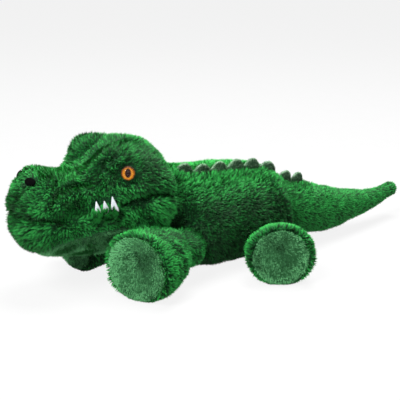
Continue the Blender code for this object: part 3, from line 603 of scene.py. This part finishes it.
# No pile grows where a cover is buried behind its neighbour, and it is pressed short close to one.
NEIGHBOUR_REACH = 0.009
neighbours = {node: tree_of(cover.points, cover.triangles) for node, cover in covers.items()}
for name in ("front_sole_left", "front_sole_right", "rear_sole_left", "rear_sole_right",
             "chin_panel", "belly_panel", "back_ridge", "tail_ridge"):
    mesh = frame["nodes"][name].data
    neighbours[name] = BVHTree.FromPolygons([v.co for v in mesh.vertices],
                                            [tuple(p.vertices) for p in mesh.polygons])
for node, cover in covers.items():
    for other, tree in neighbours.items():
        if other == node:
            continue
        for i, (point, way) in enumerate(zip(cover.points, cover.normals)):
            point, way = Vector(point), Vector(way)
            spot, face_way, _, near = tree.find_nearest(point, NEIGHBOUR_REACH)
            if spot is None:
                continue
            if (point - spot).dot(face_way) < 0:
                cover.growth[i] = 0
                continue
            hit, _, _, gap = tree.ray_cast(point - way * 0.0004, way, NEIGHBOUR_REACH)
            if hit is not None:
                cover.clear[i] = min(cover.clear[i], gap)
    cover.growth *= ramp_up(cover.clear, 0.0016, 0.0028)
    cover.length *= 0.40 + 0.60 * ramp_up(cover.clear, 0.001, 0.007)

# The pile's backing shows between the fibres as a deep green cloth with a fine knit.
backing, shader, places = finish_named("pile_backing", 0.95, Specular_IOR_Level=0.2)
patches = places.node("ShaderNodeTexNoise", values={"Vector": places, "Scale": 260.0, "Detail": 4.0})
mottle(shader, patches, (0.0016, 0.018, 0.006), (0.006, 0.060, 0.016))
knit = places.node("ShaderNodeTexVoronoi", values={"Vector": places, "Scale": 900.0})
roughen(shader, knit, 0.6, 0.0006)
for node, cover in covers.items():
    cover.dress(backing, "plush")


# The pile: tufted fibres, each a tapering blade, coloured darker towards the root as painted shade deep in
# the pile.
# Tufts lean together, as pressed plush does, and their tips draw towards one another.
FIBRE_SINK = 0.0004
FLOOR_CLEAR = 0.0005
TUFT_KEY = np.array([73856093, 19349663, 83492791])


class Pile:
    """Fibres scattered over a cover, before they are made a mesh."""

    def __init__(self, cover, per_mm2, length, lean, tuft, seed, width=0.00044, pull=0.60,
                 ruffle=0.20, rise=0.55, gap=0.55):
        dice = np.random.default_rng(seed)
        corners = cover.points[cover.triangles]
        area = np.linalg.norm(np.cross(corners[:, 1] - corners[:, 0],
                                       corners[:, 2] - corners[:, 0]), axis=1) / 2
        growth = cover.growth[cover.triangles].mean(axis=1)
        weight = area * growth
        count = int(weight.sum() * 1e6 * per_mm2)
        chosen = dice.choice(len(weight), count, p=weight / weight.sum())
        a, b = dice.random(count), dice.random(count)
        flip = a + b > 1
        a[flip], b[flip] = 1 - a[flip], 1 - b[flip]
        shares = np.stack([1 - a - b, a, b], axis=1)[:, :, None]
        tri = cover.triangles[chosen]
        root = (cover.points[tri] * shares).sum(axis=1)
        normal = unit((cover.normals[tri] * shares).sum(axis=1))
        comb = (cover.comb[tri] * shares).sum(axis=1)
        reach = (cover.length[tri] * shares[:, :, 0]).sum(axis=1) * length
        keep = dice.random(count) < (cover.growth[tri] * shares[:, :, 0]).sum(axis=1) + 0.25
        root, normal, comb, reach = root[keep], normal[keep], comb[keep], reach[keep]
        tri, shares = tri[keep], shares[keep]
        count = len(root)

        stray = np.stack([ripple(root, 0.016, seed + k) for k in (11, 12, 13)], axis=1)
        comb = comb + stray * ruffle
        comb -= normal * (comb * normal).sum(axis=1)[:, None]
        jitter = dice.normal(size=(count, 3)) * 0.16
        slope = lean * (cover.lean[tri] * shares[:, :, 0]).sum(axis=1)
        slope = slope * np.clip(np.linalg.norm(comb, axis=1) * 1.6, 0, 1)
        slope = slope * (0.90 + 0.10 * ripple(root, 0.011, seed + 21) + 0.15 * dice.normal(size=count))
        away = unit(normal * np.cos(slope)[:, None] + unit(comb) * np.sin(slope)[:, None] + jitter)
        reach = reach * (0.92 + 0.05 * ripple(root, 0.009, seed + 31) + 0.12 * dice.normal(size=count))
        reach = np.clip(reach, 0.25 * length * 0.5, 1.5 * length)

        cell = np.floor(root / tuft + ripple(root, tuft * 3, seed + 41)[:, None] * 0.35
                        ).astype(np.int64)
        key = cell @ TUFT_KEY
        _, group = np.unique(key, return_inverse=True)
        group = group.reshape(-1)
        size = np.bincount(group)[:, None]
        middle = np.stack([np.bincount(group, root[:, k]) for k in range(3)], axis=1) / size
        mean_way = unit(np.stack([np.bincount(group, away[:, k]) for k in range(3)], axis=1))
        nudge = dice.normal(size=(len(size), 3)) * 0.30
        mean_way = unit(mean_way + nudge)
        aside = np.linalg.norm(root - middle[group], axis=1) / (0.62 * tuft)
        reach = reach * (1.10 - gap * np.clip(aside, 0, 1.2) ** 2)
        tip_goal = middle[group] + mean_way[group] * reach[:, None]
        tip_own = root + away * reach[:, None]
        shift = (tip_goal - tip_own) * pull

        self.seed = seed
        base = root - normal * FIBRE_SINK
        bent = away * reach[:, None]
        tip = base + bent + shift + comb * (reach * 0.12)[:, None]
        for part in (base, tip):
            part[:, 2] = np.maximum(part[:, 2], FLOOR_CLEAR)
        self.base, self.tip, self.normal = base, tip, normal
        self.width = width * (0.8 + 0.4 * dice.random(count))
        # Each tuft's tone differs at random, and about a quarter of the tufts are painted darker as shade
        # between the tufts; calm evens this out, and each cover's tone adds its painted light and shade.
        tuft_tone = dice.random(len(size))
        tuft_tone = (tuft_tone - 0.45 * (tuft_tone < 0.24))[group]
        tone = (0.60 + 0.05 * ripple(root, 0.018, seed + 51) + 0.10 * ripple(root, 0.005, seed + 61)
                + 0.90 * (tuft_tone - 0.5) * (1 - (cover.calm[tri] * shares[:, :, 0]).sum(axis=1))
                + 0.24 * (dice.random(count) - 0.5)
                + (cover.tone[tri] * shares[:, :, 0]).sum(axis=1))
        self.tone = np.clip(tone, 0.02, 0.98)
        self.rise = rise

    def piece(self, name, body, material, slot, keep=None):
        """A mesh of these fibres, or of those that a mask keeps."""
        pick = np.ones(len(self.base), bool) if keep is None else keep
        base, tip, normal = (part[pick] for part in (self.base, self.tip, self.normal))
        width, tone = self.width[pick], self.tone[pick]
        count = len(base)
        way = unit(tip - base)
        level = unit(np.cross(way, normal))
        over = np.cross(level, way)
        over = over * np.sign((over * normal).sum(axis=1))[:, None]
        turn = np.random.default_rng(self.seed + 7).uniform(-0.95, 0.95, count)[:, None]
        side = level * np.cos(turn) + over * np.sin(turn)
        half = (width / 2)[:, None]
        rows = np.stack([base - side * half, base + side * half, tip], axis=1)
        rows[:, :, 2] = np.maximum(rows[:, :, 2], FLOOR_CLEAR)
        mesh = bpy.data.meshes.new(name)
        mesh.vertices.add(count * 3)
        mesh.vertices.foreach_set("co", rows.astype(np.float32).ravel())
        mesh.loops.add(count * 3)
        mesh.loops.foreach_set("vertex_index", np.arange(count * 3, dtype=np.int32))
        mesh.polygons.add(count)
        mesh.polygons.foreach_set("loop_start", np.arange(count, dtype=np.int32) * 3)
        mesh.update(calc_edges=True)
        mesh.shade_smooth()
        uv = mesh.uv_layers.new(name="OFBake")
        thin = 0.004
        column = np.clip(tone, 0.01, 0.985)[:, None, None]
        across = np.array([0, 1, 0.5])[None, :, None] * thin
        up = np.array([0.02, 0.02, 0.98])[None, :, None]
        places = np.concatenate([column + across, np.repeat(up, count, axis=0)], axis=2)
        uv.data.foreach_set("uv", places.astype(np.float32).ravel())
        soft = unit(normal * (1 - self.rise) + over * self.rise)
        mesh.normals_split_custom_set_from_vertices(np.repeat(soft, 3, axis=0).astype(np.float32))
        thing = bpy.data.objects.new(name, mesh)
        scene.collection.objects.link(thing)
        mesh.materials.append(material)
        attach(thing, body)
        return thing


def pile_finish(name, dull, bright, roughness=0.6, sheen=0.12, sheen_tint=(0.4, 1.0, 0.45, 1.0)):
    """Fibre colour by its own map: along it from a root painted dark, as shade deep in the pile, to the
    tip; across it from duller to brighter by the fibre's tone, which holds painted light and shade as well
    as random tone.
    """
    material, shader, places = finish_named(name, roughness, Specular_IOR_Level=0.15,
                                            Sheen_Weight=sheen, Sheen_Roughness=0.5,
                                            Sheen_Tint=sheen_tint)
    own_map = places.node("ShaderNodeUVMap", {"uv_map": "OFBake"})
    tone = places.node("ShaderNodeSeparateXYZ", values={"Vector": own_map}, output="X")
    along = places.node("ShaderNodeSeparateXYZ", values={"Vector": own_map}, output="Y")
    low = places.node("ShaderNodeValToRGB", {"stops": dull}, {"Fac": along})
    high = places.node("ShaderNodeValToRGB", {"stops": bright}, {"Fac": along})
    mixed = places.node("ShaderNodeMix", {"data_type": "RGBA"}, {0: tone, 6: low, 7: high}, output=2)
    feed(shader, "Base Color", mixed)
    return material


# The pile's colour at low and at high tone, each painted dark at the root as shade deep in the pile; the
# tone between them is partly random and partly painted light and shade.
PLUSH_DULL = ((0.0, (0.0004, 0.005, 0.002)), (0.45, (0.001, 0.014, 0.003)),
              (0.80, (0.003, 0.050, 0.009)), (1.0, (0.005, 0.090, 0.017)))
PLUSH_BRIGHT = ((0.0, (0.001, 0.014, 0.004)), (0.45, (0.008, 0.120, 0.024)),
                (0.80, (0.028, 0.380, 0.060)), (1.0, (0.066, 0.620, 0.120)))
plush = pile_finish("plush_pile", PLUSH_DULL, PLUSH_BRIGHT)

# The pile is trimmed round the eyes, the nostrils and the teeth, stands up beside the ridge,
# is clipped to a short band over the chin's panel, and presses flat underneath. Painted light and
# painted shade go into its tone: the chin's band is painted lighter, other places lighter or darker.
head_points = head_cover.points
for side in ("left", "right"):
    beyond, height, _ = round_eye(head_points, side)
    near_eye = abs(height) < 0.012
    head_cover.growth *= np.where(near_eye, ramp_up(beyond, 0.0002, 0.0010), 1)
    head_cover.length *= np.where(near_eye, 0.42 + 0.58 * ramp_up(beyond, 0.0006, 0.0055), 1)
    ring = np.where(near_eye, 1 - ramp_up(beyond, 0.001, 0.008), 0)
    head_cover.comb += unit(head_points - eye_seat(side)[0]) * (2.0 * ring)[:, None]
    low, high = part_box(f"nostril_{side}")
    nostril_middle = np.array((low + high) / 2)
    away = np.linalg.norm((head_points - nostril_middle) * (1, 1, 1.4), axis=1)
    head_cover.growth *= ramp_up(away, 0.0044, 0.0054)
    head_cover.length *= 0.72 + 0.28 * ramp_up(away, 0.004, 0.009)
    parted = 0.7 * (1 - ramp_up(away, 0.005, 0.012))
    head_cover.comb += unit(head_points - nostril_middle) * parted[:, None]
    for place in ("front", "middle", "rear"):
        low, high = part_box(f"tooth_{side}_{place}")
        bare = ((low.x + high.x) / 2, (low.y + high.y) / 2, low.z * 0.40 + high.z * 0.60)
        tip = ((low.x + high.x) / 2, (low.y + high.y) / 2, high.z)
        away, _ = head_cover.reach([bare, tip])
        head_cover.length *= 0.20 + 0.80 * ramp_up(away, 0.0026, 0.0050)
        gum = np.array(((low.x + high.x) / 2, (low.y + high.y) / 2, low.z))
        lip = 1 - ramp_up(jaw_cover.away_from(gum), 0.005, 0.010)
        jaw_cover.comb = jaw_cover.comb * (1 - lip)[:, None] + np.array((0, 0, 1.2)) * lip[:, None]
        jaw_cover.lean = jaw_cover.lean * (1 - lip) + 1.5 * lip
        jaw_cover.growth *= 1 + 1.2 * lip
        jaw_cover.length *= 1 + 0.66 * lip
for node in ("body", "tail"):
    cover = covers[node]
    for i, point in enumerate(cover.points):
        for ridge in ("back_ridge", "tail_ridge"):
            spot, way, _, away = neighbours[ridge].find_nearest(Vector(point), 0.012)
            if spot is None:
                continue
            upright = 1 - min(max((away - 0.004) / 0.007, 0), 1)
            cover.lean[i] *= 1 - 0.60 * upright
            cover.length[i] *= 1 + 1.90 * upright
            inwards = (np.array(spot) - point) / max(away, 0.001)
            cover.comb[i] = inwards * upright + cover.comb[i] * (1 - upright)
for cover in (head_cover, jaw_cover):
    away, _ = cover.reach([(-0.016, -0.160, 0.066), (0, -0.167, 0.066), (0.016, -0.160, 0.066)])
    cover.length *= 1 + 0.55 * (1 - ramp_up(away, 0.004, 0.012))
LIP_EDGE = 0.0570
chin_band = ((1 - ramp_up(jaw_cover.points[:, 2], LIP_EDGE - 0.003, LIP_EDGE + 0.001))
             * (1 - ramp_up(-jaw_cover.points[:, 1], 0.144, 0.152))
             * ramp_up(-jaw_cover.points[:, 1], 0.088, 0.098))
jaw_cover.length *= 1 - 0.50 * chin_band
# A painted light on the clipped band under the chin.
jaw_cover.tone += 0.26 * chin_band

# Painted light and shade: the back is painted lighter and the flanks darker, the near leg is
# painted in shade where it meets the chest, and the far front leg is painted darker under the chin.
body_height = covers["body"].points[:, 2]
covers["body"].tone += 1.06 * ramp_up(body_height, 0.050, 0.074) - 0.60
covers["body"].calm += 0.40 * ramp_up(body_height, 0.058, 0.074)
head_cover.tone += 0.10
jaw_cover.tone += 0.17
away, _ = near_leg.reach(LEG_TOP)
shade = bell(away, 0.011)
near_leg.tone += 0.14 - 0.60 * shade
near_leg.length *= 1 - 0.35 * shade
near_leg.lean *= 1 + 0.9 * shade
# Painted shade on the far front leg, under the chin.
covers["front_leg_right"].tone -= 0.20
tail_cover.tone += 0.05
# Spots of painted light and shade on the face, on both sides: each with its name, place, reach, and how
# much lighter or darker it is painted.
FACE_PAINTED_LIGHT_AND_SHADE = (
    ("cheek", (0.037, -0.070, 0.062), 0.012, 0.36),
    ("lobe", (0.033, -0.096, 0.058), 0.008, 0.30),
    ("chops", (0.029, -0.133, 0.050), 0.020, 0.16),
    ("temple", (0.036, -0.076, 0.093), 0.020, -0.52),
    ("muzzle", (0.029, -0.131, 0.072), 0.014, 0.26),
    ("under the eye", (0.034, -0.100, 0.080), 0.014, 0.30),
    ("behind the lobe", (0.0353, -0.0763, 0.0535), 0.006, -0.24),
    ("jaw hinge", (0.0346, -0.0608, 0.0572), 0.005, 0.34),
    ("under the hinge", (0.0313, -0.0618, 0.0502), 0.005, 0.30),
    ("crown", (0.010, -0.086, 0.110), 0.030, -0.20),
    ("eye's lower lid", (0.0330, -0.1035, 0.0900), 0.005, -0.40),
    ("eye's inner corner", (0.0245, -0.1165, 0.0880), 0.0045, -0.50),
    ("far brow", (-0.020, -0.105, 0.104), 0.018, -0.24),
    ("jaw's front", (0.0, -0.166, 0.056), 0.024, -0.18),
    ("nose", (0.0, -0.166, 0.082), 0.018, -0.14),
)
for _, spot, reach, lift in FACE_PAINTED_LIGHT_AND_SHADE:
    for cover in (head_cover, jaw_cover):
        for side in (1, -1):
            away = cover.away_from((spot[0] * side, spot[1], spot[2]))
            cover.tone += lift * bell(away, reach)
for cover in covers.values():
    cover.length *= 0.35 + 0.65 * ramp_up(cover.points[:, 2], 0.001, 0.010)

THICK = 1.0
head_pile = Pile(head_cover, 16.5 * THICK, 0.0036, 0.42, 0.0016, 100, width=0.00039)
snout = head_pile.base[:, 1] < -0.118
crown = ~snout & (head_pile.base[:, 1] < -0.088)
for name, part in (("snout_fur", snout), ("brow_fur", crown), ("nape_fur", ~snout & ~crown)):
    head_pile.piece(name, "head", plush, "plush", part)
jaw_pile = Pile(jaw_cover, 15.5 * THICK, 0.0042, 0.55, 0.0018, 200, width=0.00041)
banded = ((jaw_pile.base[:, 2] < LIP_EDGE - 0.001) & (jaw_pile.base[:, 1] > -0.147)
          & (jaw_pile.base[:, 1] < -0.094))
chops = ~banded & (jaw_pile.base[:, 1] < -0.110)
jaw_pile.piece("chops_fur", "head", plush, "plush", chops)
jaw_pile.piece("cheek_fur", "head", plush, "plush", ~banded & ~chops)
body_pile = Pile(covers["body"], 12.0 * THICK, 0.0036, 0.22, 0.0016, 300)
shoulder = body_pile.base[:, 1] < -0.014
loin = ~shoulder & (body_pile.base[:, 1] < 0.024)
for name, part in (("shoulder_fur", shoulder), ("loin_fur", loin), ("rump_fur", ~shoulder & ~loin)):
    body_pile.piece(name, "torso", plush, "plush", part)
tail_pile = Pile(tail_cover, 12.0 * THICK, 0.0031, 0.50, 0.0015, 400)
broad = tail_pile.base[:, 1] < 0.100
tail_pile.piece("tail_root_fur", "tail", plush, "plush", broad)
tail_pile.piece("tail_end_fur", "tail", plush, "plush", ~broad)
for step, (kind, side) in enumerate((("front", "left"), ("front", "right"), ("rear", "left"),
                                     ("rear", "right"))):
    leg = covers[f"{kind}_leg_{side}"]
    Pile(leg, 12.0 * THICK, 0.0034, 0.45, 0.0017, 500 + 10 * step).piece(
        f"{kind}_leg_fur_{side}", leg.body, plush, "plush")

# The soles, the chin and the belly: panels of short shaved velour in a paler, greyer green.
# Each is let into its cover by a seam; the soles' rims and the chin's panel are painted lighter.
VELOUR_DULL = ((0.0, (0.007, 0.036, 0.013)), (0.6, (0.018, 0.106, 0.032)), (1.0, (0.034, 0.168, 0.054)))
VELOUR_BRIGHT = ((0.0, (0.030, 0.120, 0.045)), (0.6, (0.110, 0.400, 0.150)), (1.0, (0.210, 0.640, 0.270)))
NAP_LENGTH = 0.0019
SOLE_SPREAD = 0.045
velour_nap = pile_finish("velour_nap", VELOUR_DULL, VELOUR_BRIGHT, 0.75)
velour_ground, shader, places = finish_named("velour_ground", 0.9, Specular_IOR_Level=0.2,
                                             Sheen_Weight=0.3, Sheen_Roughness=0.4,
                                             Sheen_Tint=(0.6, 1.0, 0.7, 1.0))
brushed = places.node("ShaderNodeTexNoise", values={"Vector": places, "Scale": 70.0, "Detail": 5.0})
mottle(shader, brushed, (0.010, 0.055, 0.018), (0.035, 0.150, 0.052))
cut_ends = places.node("ShaderNodeTexNoise", values={"Vector": places, "Scale": 1800.0, "Detail": 2.0})
roughen(shader, cut_ends, 0.5, 0.0004)

# A band of clipped plush frames the chin's panel.
jaw_pile.piece("chin_fur", "head", plush, "plush", banded)
panels = {}
for step, (node, grain) in enumerate((
        ("front_sole_left", 0.0009), ("front_sole_right", 0.0009), ("rear_sole_left", 0.0009),
        ("rear_sole_right", 0.0009), ("chin_panel", 0.0010), ("belly_panel", 0.0009))):
    panel = Cover(node, BODIES[node], grain, 2)
    del covers[node]
    panels[node] = panel
    panel.dress(velour_ground, "velour")
    middle = panel.points.mean(axis=0)
    spread = panel.points - middle
    _, _, ways = np.linalg.svd(spread[::7], full_matrices=False)
    out_way = ways[2]
    if "sole" in node:
        leg_middle = covers[node.replace("sole", "leg")].points.mean(axis=0)
        out_way = out_way * np.sign(out_way @ (middle - leg_middle))
    elif out_way[2] > 0:
        out_way = -out_way
    facing = panel.normals @ out_way
    if "sole" in node:
        panel.points += (spread - (spread @ out_way)[:, None] * out_way) * SOLE_SPREAD
        panel.points[:, 2] = np.maximum(panel.points[:, 2], TABLE_CLEAR)
        panel.write()
    panel.growth *= ramp_up(facing, 0.15, 0.5)
    from_middle = np.linalg.norm(spread - (spread @ out_way)[:, None] * out_way, axis=1)
    edge = ramp_up(from_middle / from_middle.max(), 0.35, 1.0)
    panel.comb[:] = unit(spread) * 0.8 + np.array((0, 0, -0.4))
    # Painted light and shade: a sole's rim is painted lighter than its middle as a painted sheen, the rear
    # soles darker as painted shade, and the chin's panel lighter as painted light; the ripple is random
    # tone.
    sole_painted_light = (0.80 * edge - 0.26 - 0.22 * ("rear" in node)) * ("sole" in node)
    panel.tone[:] = (sole_painted_light + 0.66 * (node == "chin_panel")
                     + 0.12 * ripple(panel.points, 0.016, 900 + step))
    thick, nap = (13.0, NAP_LENGTH) if "sole" in node else (9.0, NAP_LENGTH * 1.5)
    Pile(panel, thick * THICK, nap, 0.60, 0.0014, 900 + 10 * step, width=0.00036, pull=0.30,
         ruffle=0.45).piece(node + "_nap", panel.body, velour_nap, "velour")

# The ridge: a ribbon of felt cut in rounded scales and sewn upright into the back seam.
# Its cut edge is bound with a paler thread, whipped over and over.
felt_nap = pile_finish(
    "felt_fuzz",
    ((0.0, (0.008, 0.028, 0.012)), (1.0, (0.040, 0.105, 0.050))),
    ((0.0, (0.050, 0.130, 0.060)), (1.0, (0.330, 0.520, 0.340))), 0.9)
felt, shader, places = finish_named("ridge_felt", 0.95, Specular_IOR_Level=0.2)
fibres = places.node("ShaderNodeTexNoise", values={"Vector": places, "Scale": 900.0, "Detail": 4.0})
mottle(shader, fibres, (0.012, 0.040, 0.018), (0.045, 0.120, 0.055))
roughen(shader, fibres, 0.8, 0.0004)
thread, shader, places = finish_named("edge_thread", 0.7, Sheen_Weight=0.4)
twist = places.node("ShaderNodeTexWave", {"bands_direction": "DIAGONAL"},
                    {"Vector": places, "Scale": 420.0, "Distortion": 2.0, "Detail": 2.0})
mottle(shader, twist, (0.130, 0.280, 0.150), (0.340, 0.560, 0.370), 0.2, 0.8)
roughen(shader, twist, 0.7, 0.0003)
THREAD_RADIUS = 0.00040
FELT_LOFT = 0.0002
for step, node in enumerate(("back_ridge", "tail_ridge")):
    ribbon = Cover(node, BODIES[node], 0.0005, 3)
    del covers[node]
    ribbon.press_out(np.full(len(ribbon.points), FELT_LOFT))
    ribbon.dress(felt, "felt")
    low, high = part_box(node)
    edge = []
    for y in np.linspace(low.y + 0.0006, high.y - 0.0006, int((high.y - low.y) / 0.0007)):
        near = ribbon.points[abs(ribbon.points[:, 1] - y) < 0.0006]
        edge.append(near[near[:, 2].argmax()])
    edge = np.array(edge)
    for _ in range(3):
        edge[1:-1] = (edge[:-2] + 2 * edge[1:-1] + edge[2:]) / 4
    ribbon.comb[:] = (0, 0.3, 0.6)
    away, _ = ribbon.reach([tuple(spot) for spot in edge])
    rim = 1 - ramp_up(away, 0.0004, 0.0028)
    ribbon.tone += 1.05 * rim - 0.40 + 0.28 * ripple(ribbon.points, 0.0035, 77)
    ribbon.length *= 1 + 0.6 * rim
    Pile(ribbon, 22.0 * THICK, 0.0013, 0.7, 0.0010, 970 + 10 * step, width=0.00030, pull=0.3).piece(
        node + "_fuzz", ribbon.body, felt_nap, "felt")
    line = bpy.data.curves.new(node + "_thread", "CURVE")
    line.dimensions = "3D"
    run = line.splines.new("POLY")
    run.points.add(len(edge) - 1)
    for point, spot in zip(run.points, edge):
        point.co = (*spot, 1.0)
    line.bevel_depth = THREAD_RADIUS
    line.bevel_resolution = 2
    line.use_fill_caps = True
    drawn = bpy.data.objects.new(node + "_thread_line", line)
    scene.collection.objects.link(drawn)
    mesh = bpy.data.meshes.new_from_object(drawn.evaluated_get(bpy.context.evaluated_depsgraph_get()))
    bpy.data.objects.remove(drawn)
    mesh.materials.clear()
    mesh.materials.append(thread)
    mesh.shade_smooth()
    piece = bpy.data.objects.new(node + "_edge_thread", mesh)
    scene.collection.objects.link(piece)
    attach(piece, ribbon.body)

# The teeth: white felt points, caught in the mouth seam.
tooth_felt, shader, places = finish_named("tooth_felt", 0.9, Specular_IOR_Level=0.2,
                                          Sheen_Weight=0.3, Sheen_Roughness=0.5)
fibres = places.node("ShaderNodeTexNoise", values={"Vector": places, "Scale": 1500.0, "Detail": 4.0})
mottle(shader, fibres, (0.60, 0.65, 0.72), (0.84, 0.86, 0.90))
roughen(shader, fibres, 0.6, 0.0003)
for side in ("left", "right"):
    for place in ("front", "middle", "rear"):
        node = f"tooth_{side}_{place}"
        tooth = Cover(node, BODIES[node], 0.00032, 1)
        del covers[node]
        low, high = tooth.points.min(axis=0), tooth.points.max(axis=0)
        down = high[2] - tooth.points[:, 2]
        tooth.points[:, 1] += (tooth.points[:, 1] - (low[1] + high[1]) / 2) * 0.40 + down * 0.14
        tooth.write()
        tooth.dress(tooth_felt, "white_felt")

# The nostrils: small black pads worked in satin stitch, side by side from edge to edge.
stitched, shader, places = finish_named("nostril_thread", 0.95, Specular_IOR_Level=0.04)
floss = places.node("ShaderNodeTexWave", {"bands_direction": "X"},
                    {"Vector": places, "Scale": 520.0, "Distortion": 1.5, "Detail": 2.0})
mottle(shader, floss, (0.0004, 0.0005, 0.0005), (0.002, 0.0022, 0.002), 0.2, 0.8)
roughen(shader, floss, 0.8, 0.0004)
for side in ("left", "right"):
    node = f"nostril_{side}"
    pad = Cover(node, BODIES[node], 0.00035, 3)
    del covers[node]
    middle = pad.points.mean(axis=0)
    _, _, ways = np.linalg.svd(pad.points - middle, full_matrices=False)
    pad.points += ways[0] * ((pad.points - middle) @ ways[0] * 0.22)[:, None]
    pad.points += pad.normals * 0.0003
    pad.write()
    pad.dress(stitched, "nostril")

# The eyes: moulded safety eyes, a painted amber iris behind a clear dome, on a black backing.
# A ribbed stem goes through the cover, and a washer pressed on it inside holds the eye.
backing_finish, shader, places = finish_named("eye_backing_plastic", 0.28, Specular_IOR_Level=0.5)
mould = places.node("ShaderNodeTexNoise", values={"Vector": places, "Scale": 600.0, "Detail": 3.0})
mottle(shader, mould, (0.004, 0.004, 0.004), (0.012, 0.011, 0.010))
washer_finish, shader, places = finish_named("washer_plastic", 0.4)
mould = places.node("ShaderNodeTexNoise", values={"Vector": places, "Scale": 400.0, "Detail": 3.0})
mottle(shader, mould, (0.62, 0.62, 0.60), (0.74, 0.74, 0.72))
roughen(shader, mould, 0.2, 0.0002)
clear, shader, places = finish_named("eye_clear", 0.04)
clouds = places.node("ShaderNodeTexNoise", values={"Vector": places, "Scale": 300.0, "Detail": 2.0})
gloss = places.node("ShaderNodeBsdfGlossy", values={"Roughness": 0.04, "Color": places.node(
    "ShaderNodeValToRGB",
    {"stops": ((0.3, (0.94, 0.94, 0.94)), (0.7, (1.0, 1.0, 1.0)))}, {"Fac": clouds})})
facing = places.node("ShaderNodeLayerWeight", values={"Blend": 0.5}, output="Facing")
shine = facing ** 5.0 * 0.16 + 0.007
open_air = places.node("ShaderNodeBsdfTransparent")
glassy = places.node("ShaderNodeMixShader", values={0: shine, 1: open_air, 2: gloss})
clear.node_tree.links.new(glassy.socket, clear.node_tree.nodes["Material Output"].inputs["Surface"])
clear.node_tree.nodes.remove(shader)

iris_finish, shader, places = finish_named("iris_paint", 0.45, Specular_IOR_Level=0.10)
flat = places.node("ShaderNodeUVMap", {"uv_map": "OFBake"})
across = flat.node("ShaderNodeSeparateXYZ", values={"Vector": flat}, output="X") - 0.5
upward = flat.node("ShaderNodeSeparateXYZ", values={"Vector": flat}, output="Y") - 0.5
ring = (across * across + upward * upward) ** 0.5 * 2.0
angle = across.maths("ARCTAN2", upward, across)
streak = flat.node("ShaderNodeTexNoise", {"noise_dimensions": "2D"}, {
    "Vector": flat.node("ShaderNodeCombineXYZ", values={"X": angle * 6.0, "Y": ring * 1.6}),
    "Scale": 1.6, "Detail": 4.0})
amber = flat.node("ShaderNodeValToRGB", {"stops": (
    (0.0, (0.14, 0.036, 0.004)), (0.42, (0.29, 0.090, 0.006)), (0.64, (0.47, 0.190, 0.012)),
    (0.80, (0.30, 0.092, 0.007)), (0.92, (0.09, 0.026, 0.004)), (1.0, (0.03, 0.010, 0.004)))},
    {"Fac": ring + (streak - 0.5) * 0.60 + upward * 0.24})
slit_width = 0.205
slit = ((across / slit_width) ** 2.0 + (upward / 0.33) ** 2.0) ** 0.5
open_iris = flat.node("ShaderNodeMapRange", {"interpolation_type": "SMOOTHSTEP"},
                      {"Value": slit, "From Min": 0.85, "From Max": 1.15})
feed(shader, "Base Color", flat.node(
    "ShaderNodeMix", {"data_type": "RGBA"},
    {0: open_iris, 6: (0.012, 0.003, 0.003, 1.0), 7: amber}, output=2))

for side in ("left", "right"):
    centre, gaze, _ = eye_seat(side)
    upright = unit((np.array((0, 0, 1.0)) - gaze * gaze[2])[None, :])[0]
    sideways = np.cross(upright, gaze)
    axes = Matrix([[*map(float, row)] for row in np.stack([sideways, upright, gaze], axis=1)]).to_4x4()

    def turned(name, profile, low_at, material, node, steps=48):
        """A piece turned on the eye's axis from radii and heights, closed at both poles."""
        bm = bmesh.new()
        row = [bm.verts.new((radius, 0, height)) for radius, height in profile]
        for a, b in zip(row, row[1:]):
            bm.edges.new((a, b))
        bmesh.ops.spin(bm, geom=bm.verts[:] + bm.edges[:], cent=(0, 0, 0), axis=(0, 0, 1), dvec=(0, 0, 0),
                       angle=2 * math.pi, steps=steps, use_merge=True, use_duplicate=False)
        bmesh.ops.remove_doubles(bm, verts=bm.verts[:], dist=0.000002)
        bmesh.ops.recalc_face_normals(bm, faces=bm.faces[:])
        mesh = bpy.data.meshes.new(name)
        flat_map = bm.loops.layers.uv.new("OFBake")
        wide = max(radius for radius, _ in profile)
        for face in bm.faces:
            for loop in face.loops:
                loop[flat_map].uv = (0.5 + loop.vert.co.x / wide / 2, 0.5 + loop.vert.co.y / wide / 2)
        bmesh.ops.transform(bm, matrix=Matrix.Translation(Vector(centre)) @ axes
                            @ Matrix.Translation((0, 0, low_at)), verts=bm.verts[:])
        bm.to_mesh(mesh)
        bm.free()
        mesh.shade_smooth()
        piece = bpy.data.objects.new(name, mesh)
        scene.collection.objects.link(piece)
        mesh.materials.append(material)
        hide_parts(node)
        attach(piece, "head")
        return piece

    def eye_solid(node):
        """A solid's radius round the eye's axis, where it starts along it and how tall it is."""
        out = solid_points(node) - centre
        along = out @ gaze
        wide = np.linalg.norm(out - along[:, None] * gaze, axis=1).max()
        return wide, along.min(), along.max() - along.min()

    wide, low_edge, tall = eye_solid(f"eye_iris_{side}")
    turned(f"iris_{side}", [(0, 0), (wide, 0), (wide, tall * 0.7), (wide * 0.93, tall),
                            (wide * 0.6, tall), (0, tall)],
           low_edge, iris_finish, f"eye_iris_{side}")
    wide, low_edge, tall = eye_solid(f"eye_dome_{side}")
    arc = [(wide * math.cos(t), tall * math.sin(t)) for t in np.linspace(0, math.pi / 2, 14)]
    arc[-1] = (0, tall)
    dome = turned(f"dome_{side}", [(0, 0)] + arc, low_edge, clear, f"eye_dome_{side}")
    dome.visible_shadow = False
    for node, material in ((f"eye_backing_{side}", backing_finish), (f"eye_washer_{side}", washer_finish)):
        mesh = frame["nodes"][node].data
        for slot in range(len(mesh.materials)):
            mesh.materials[slot] = material
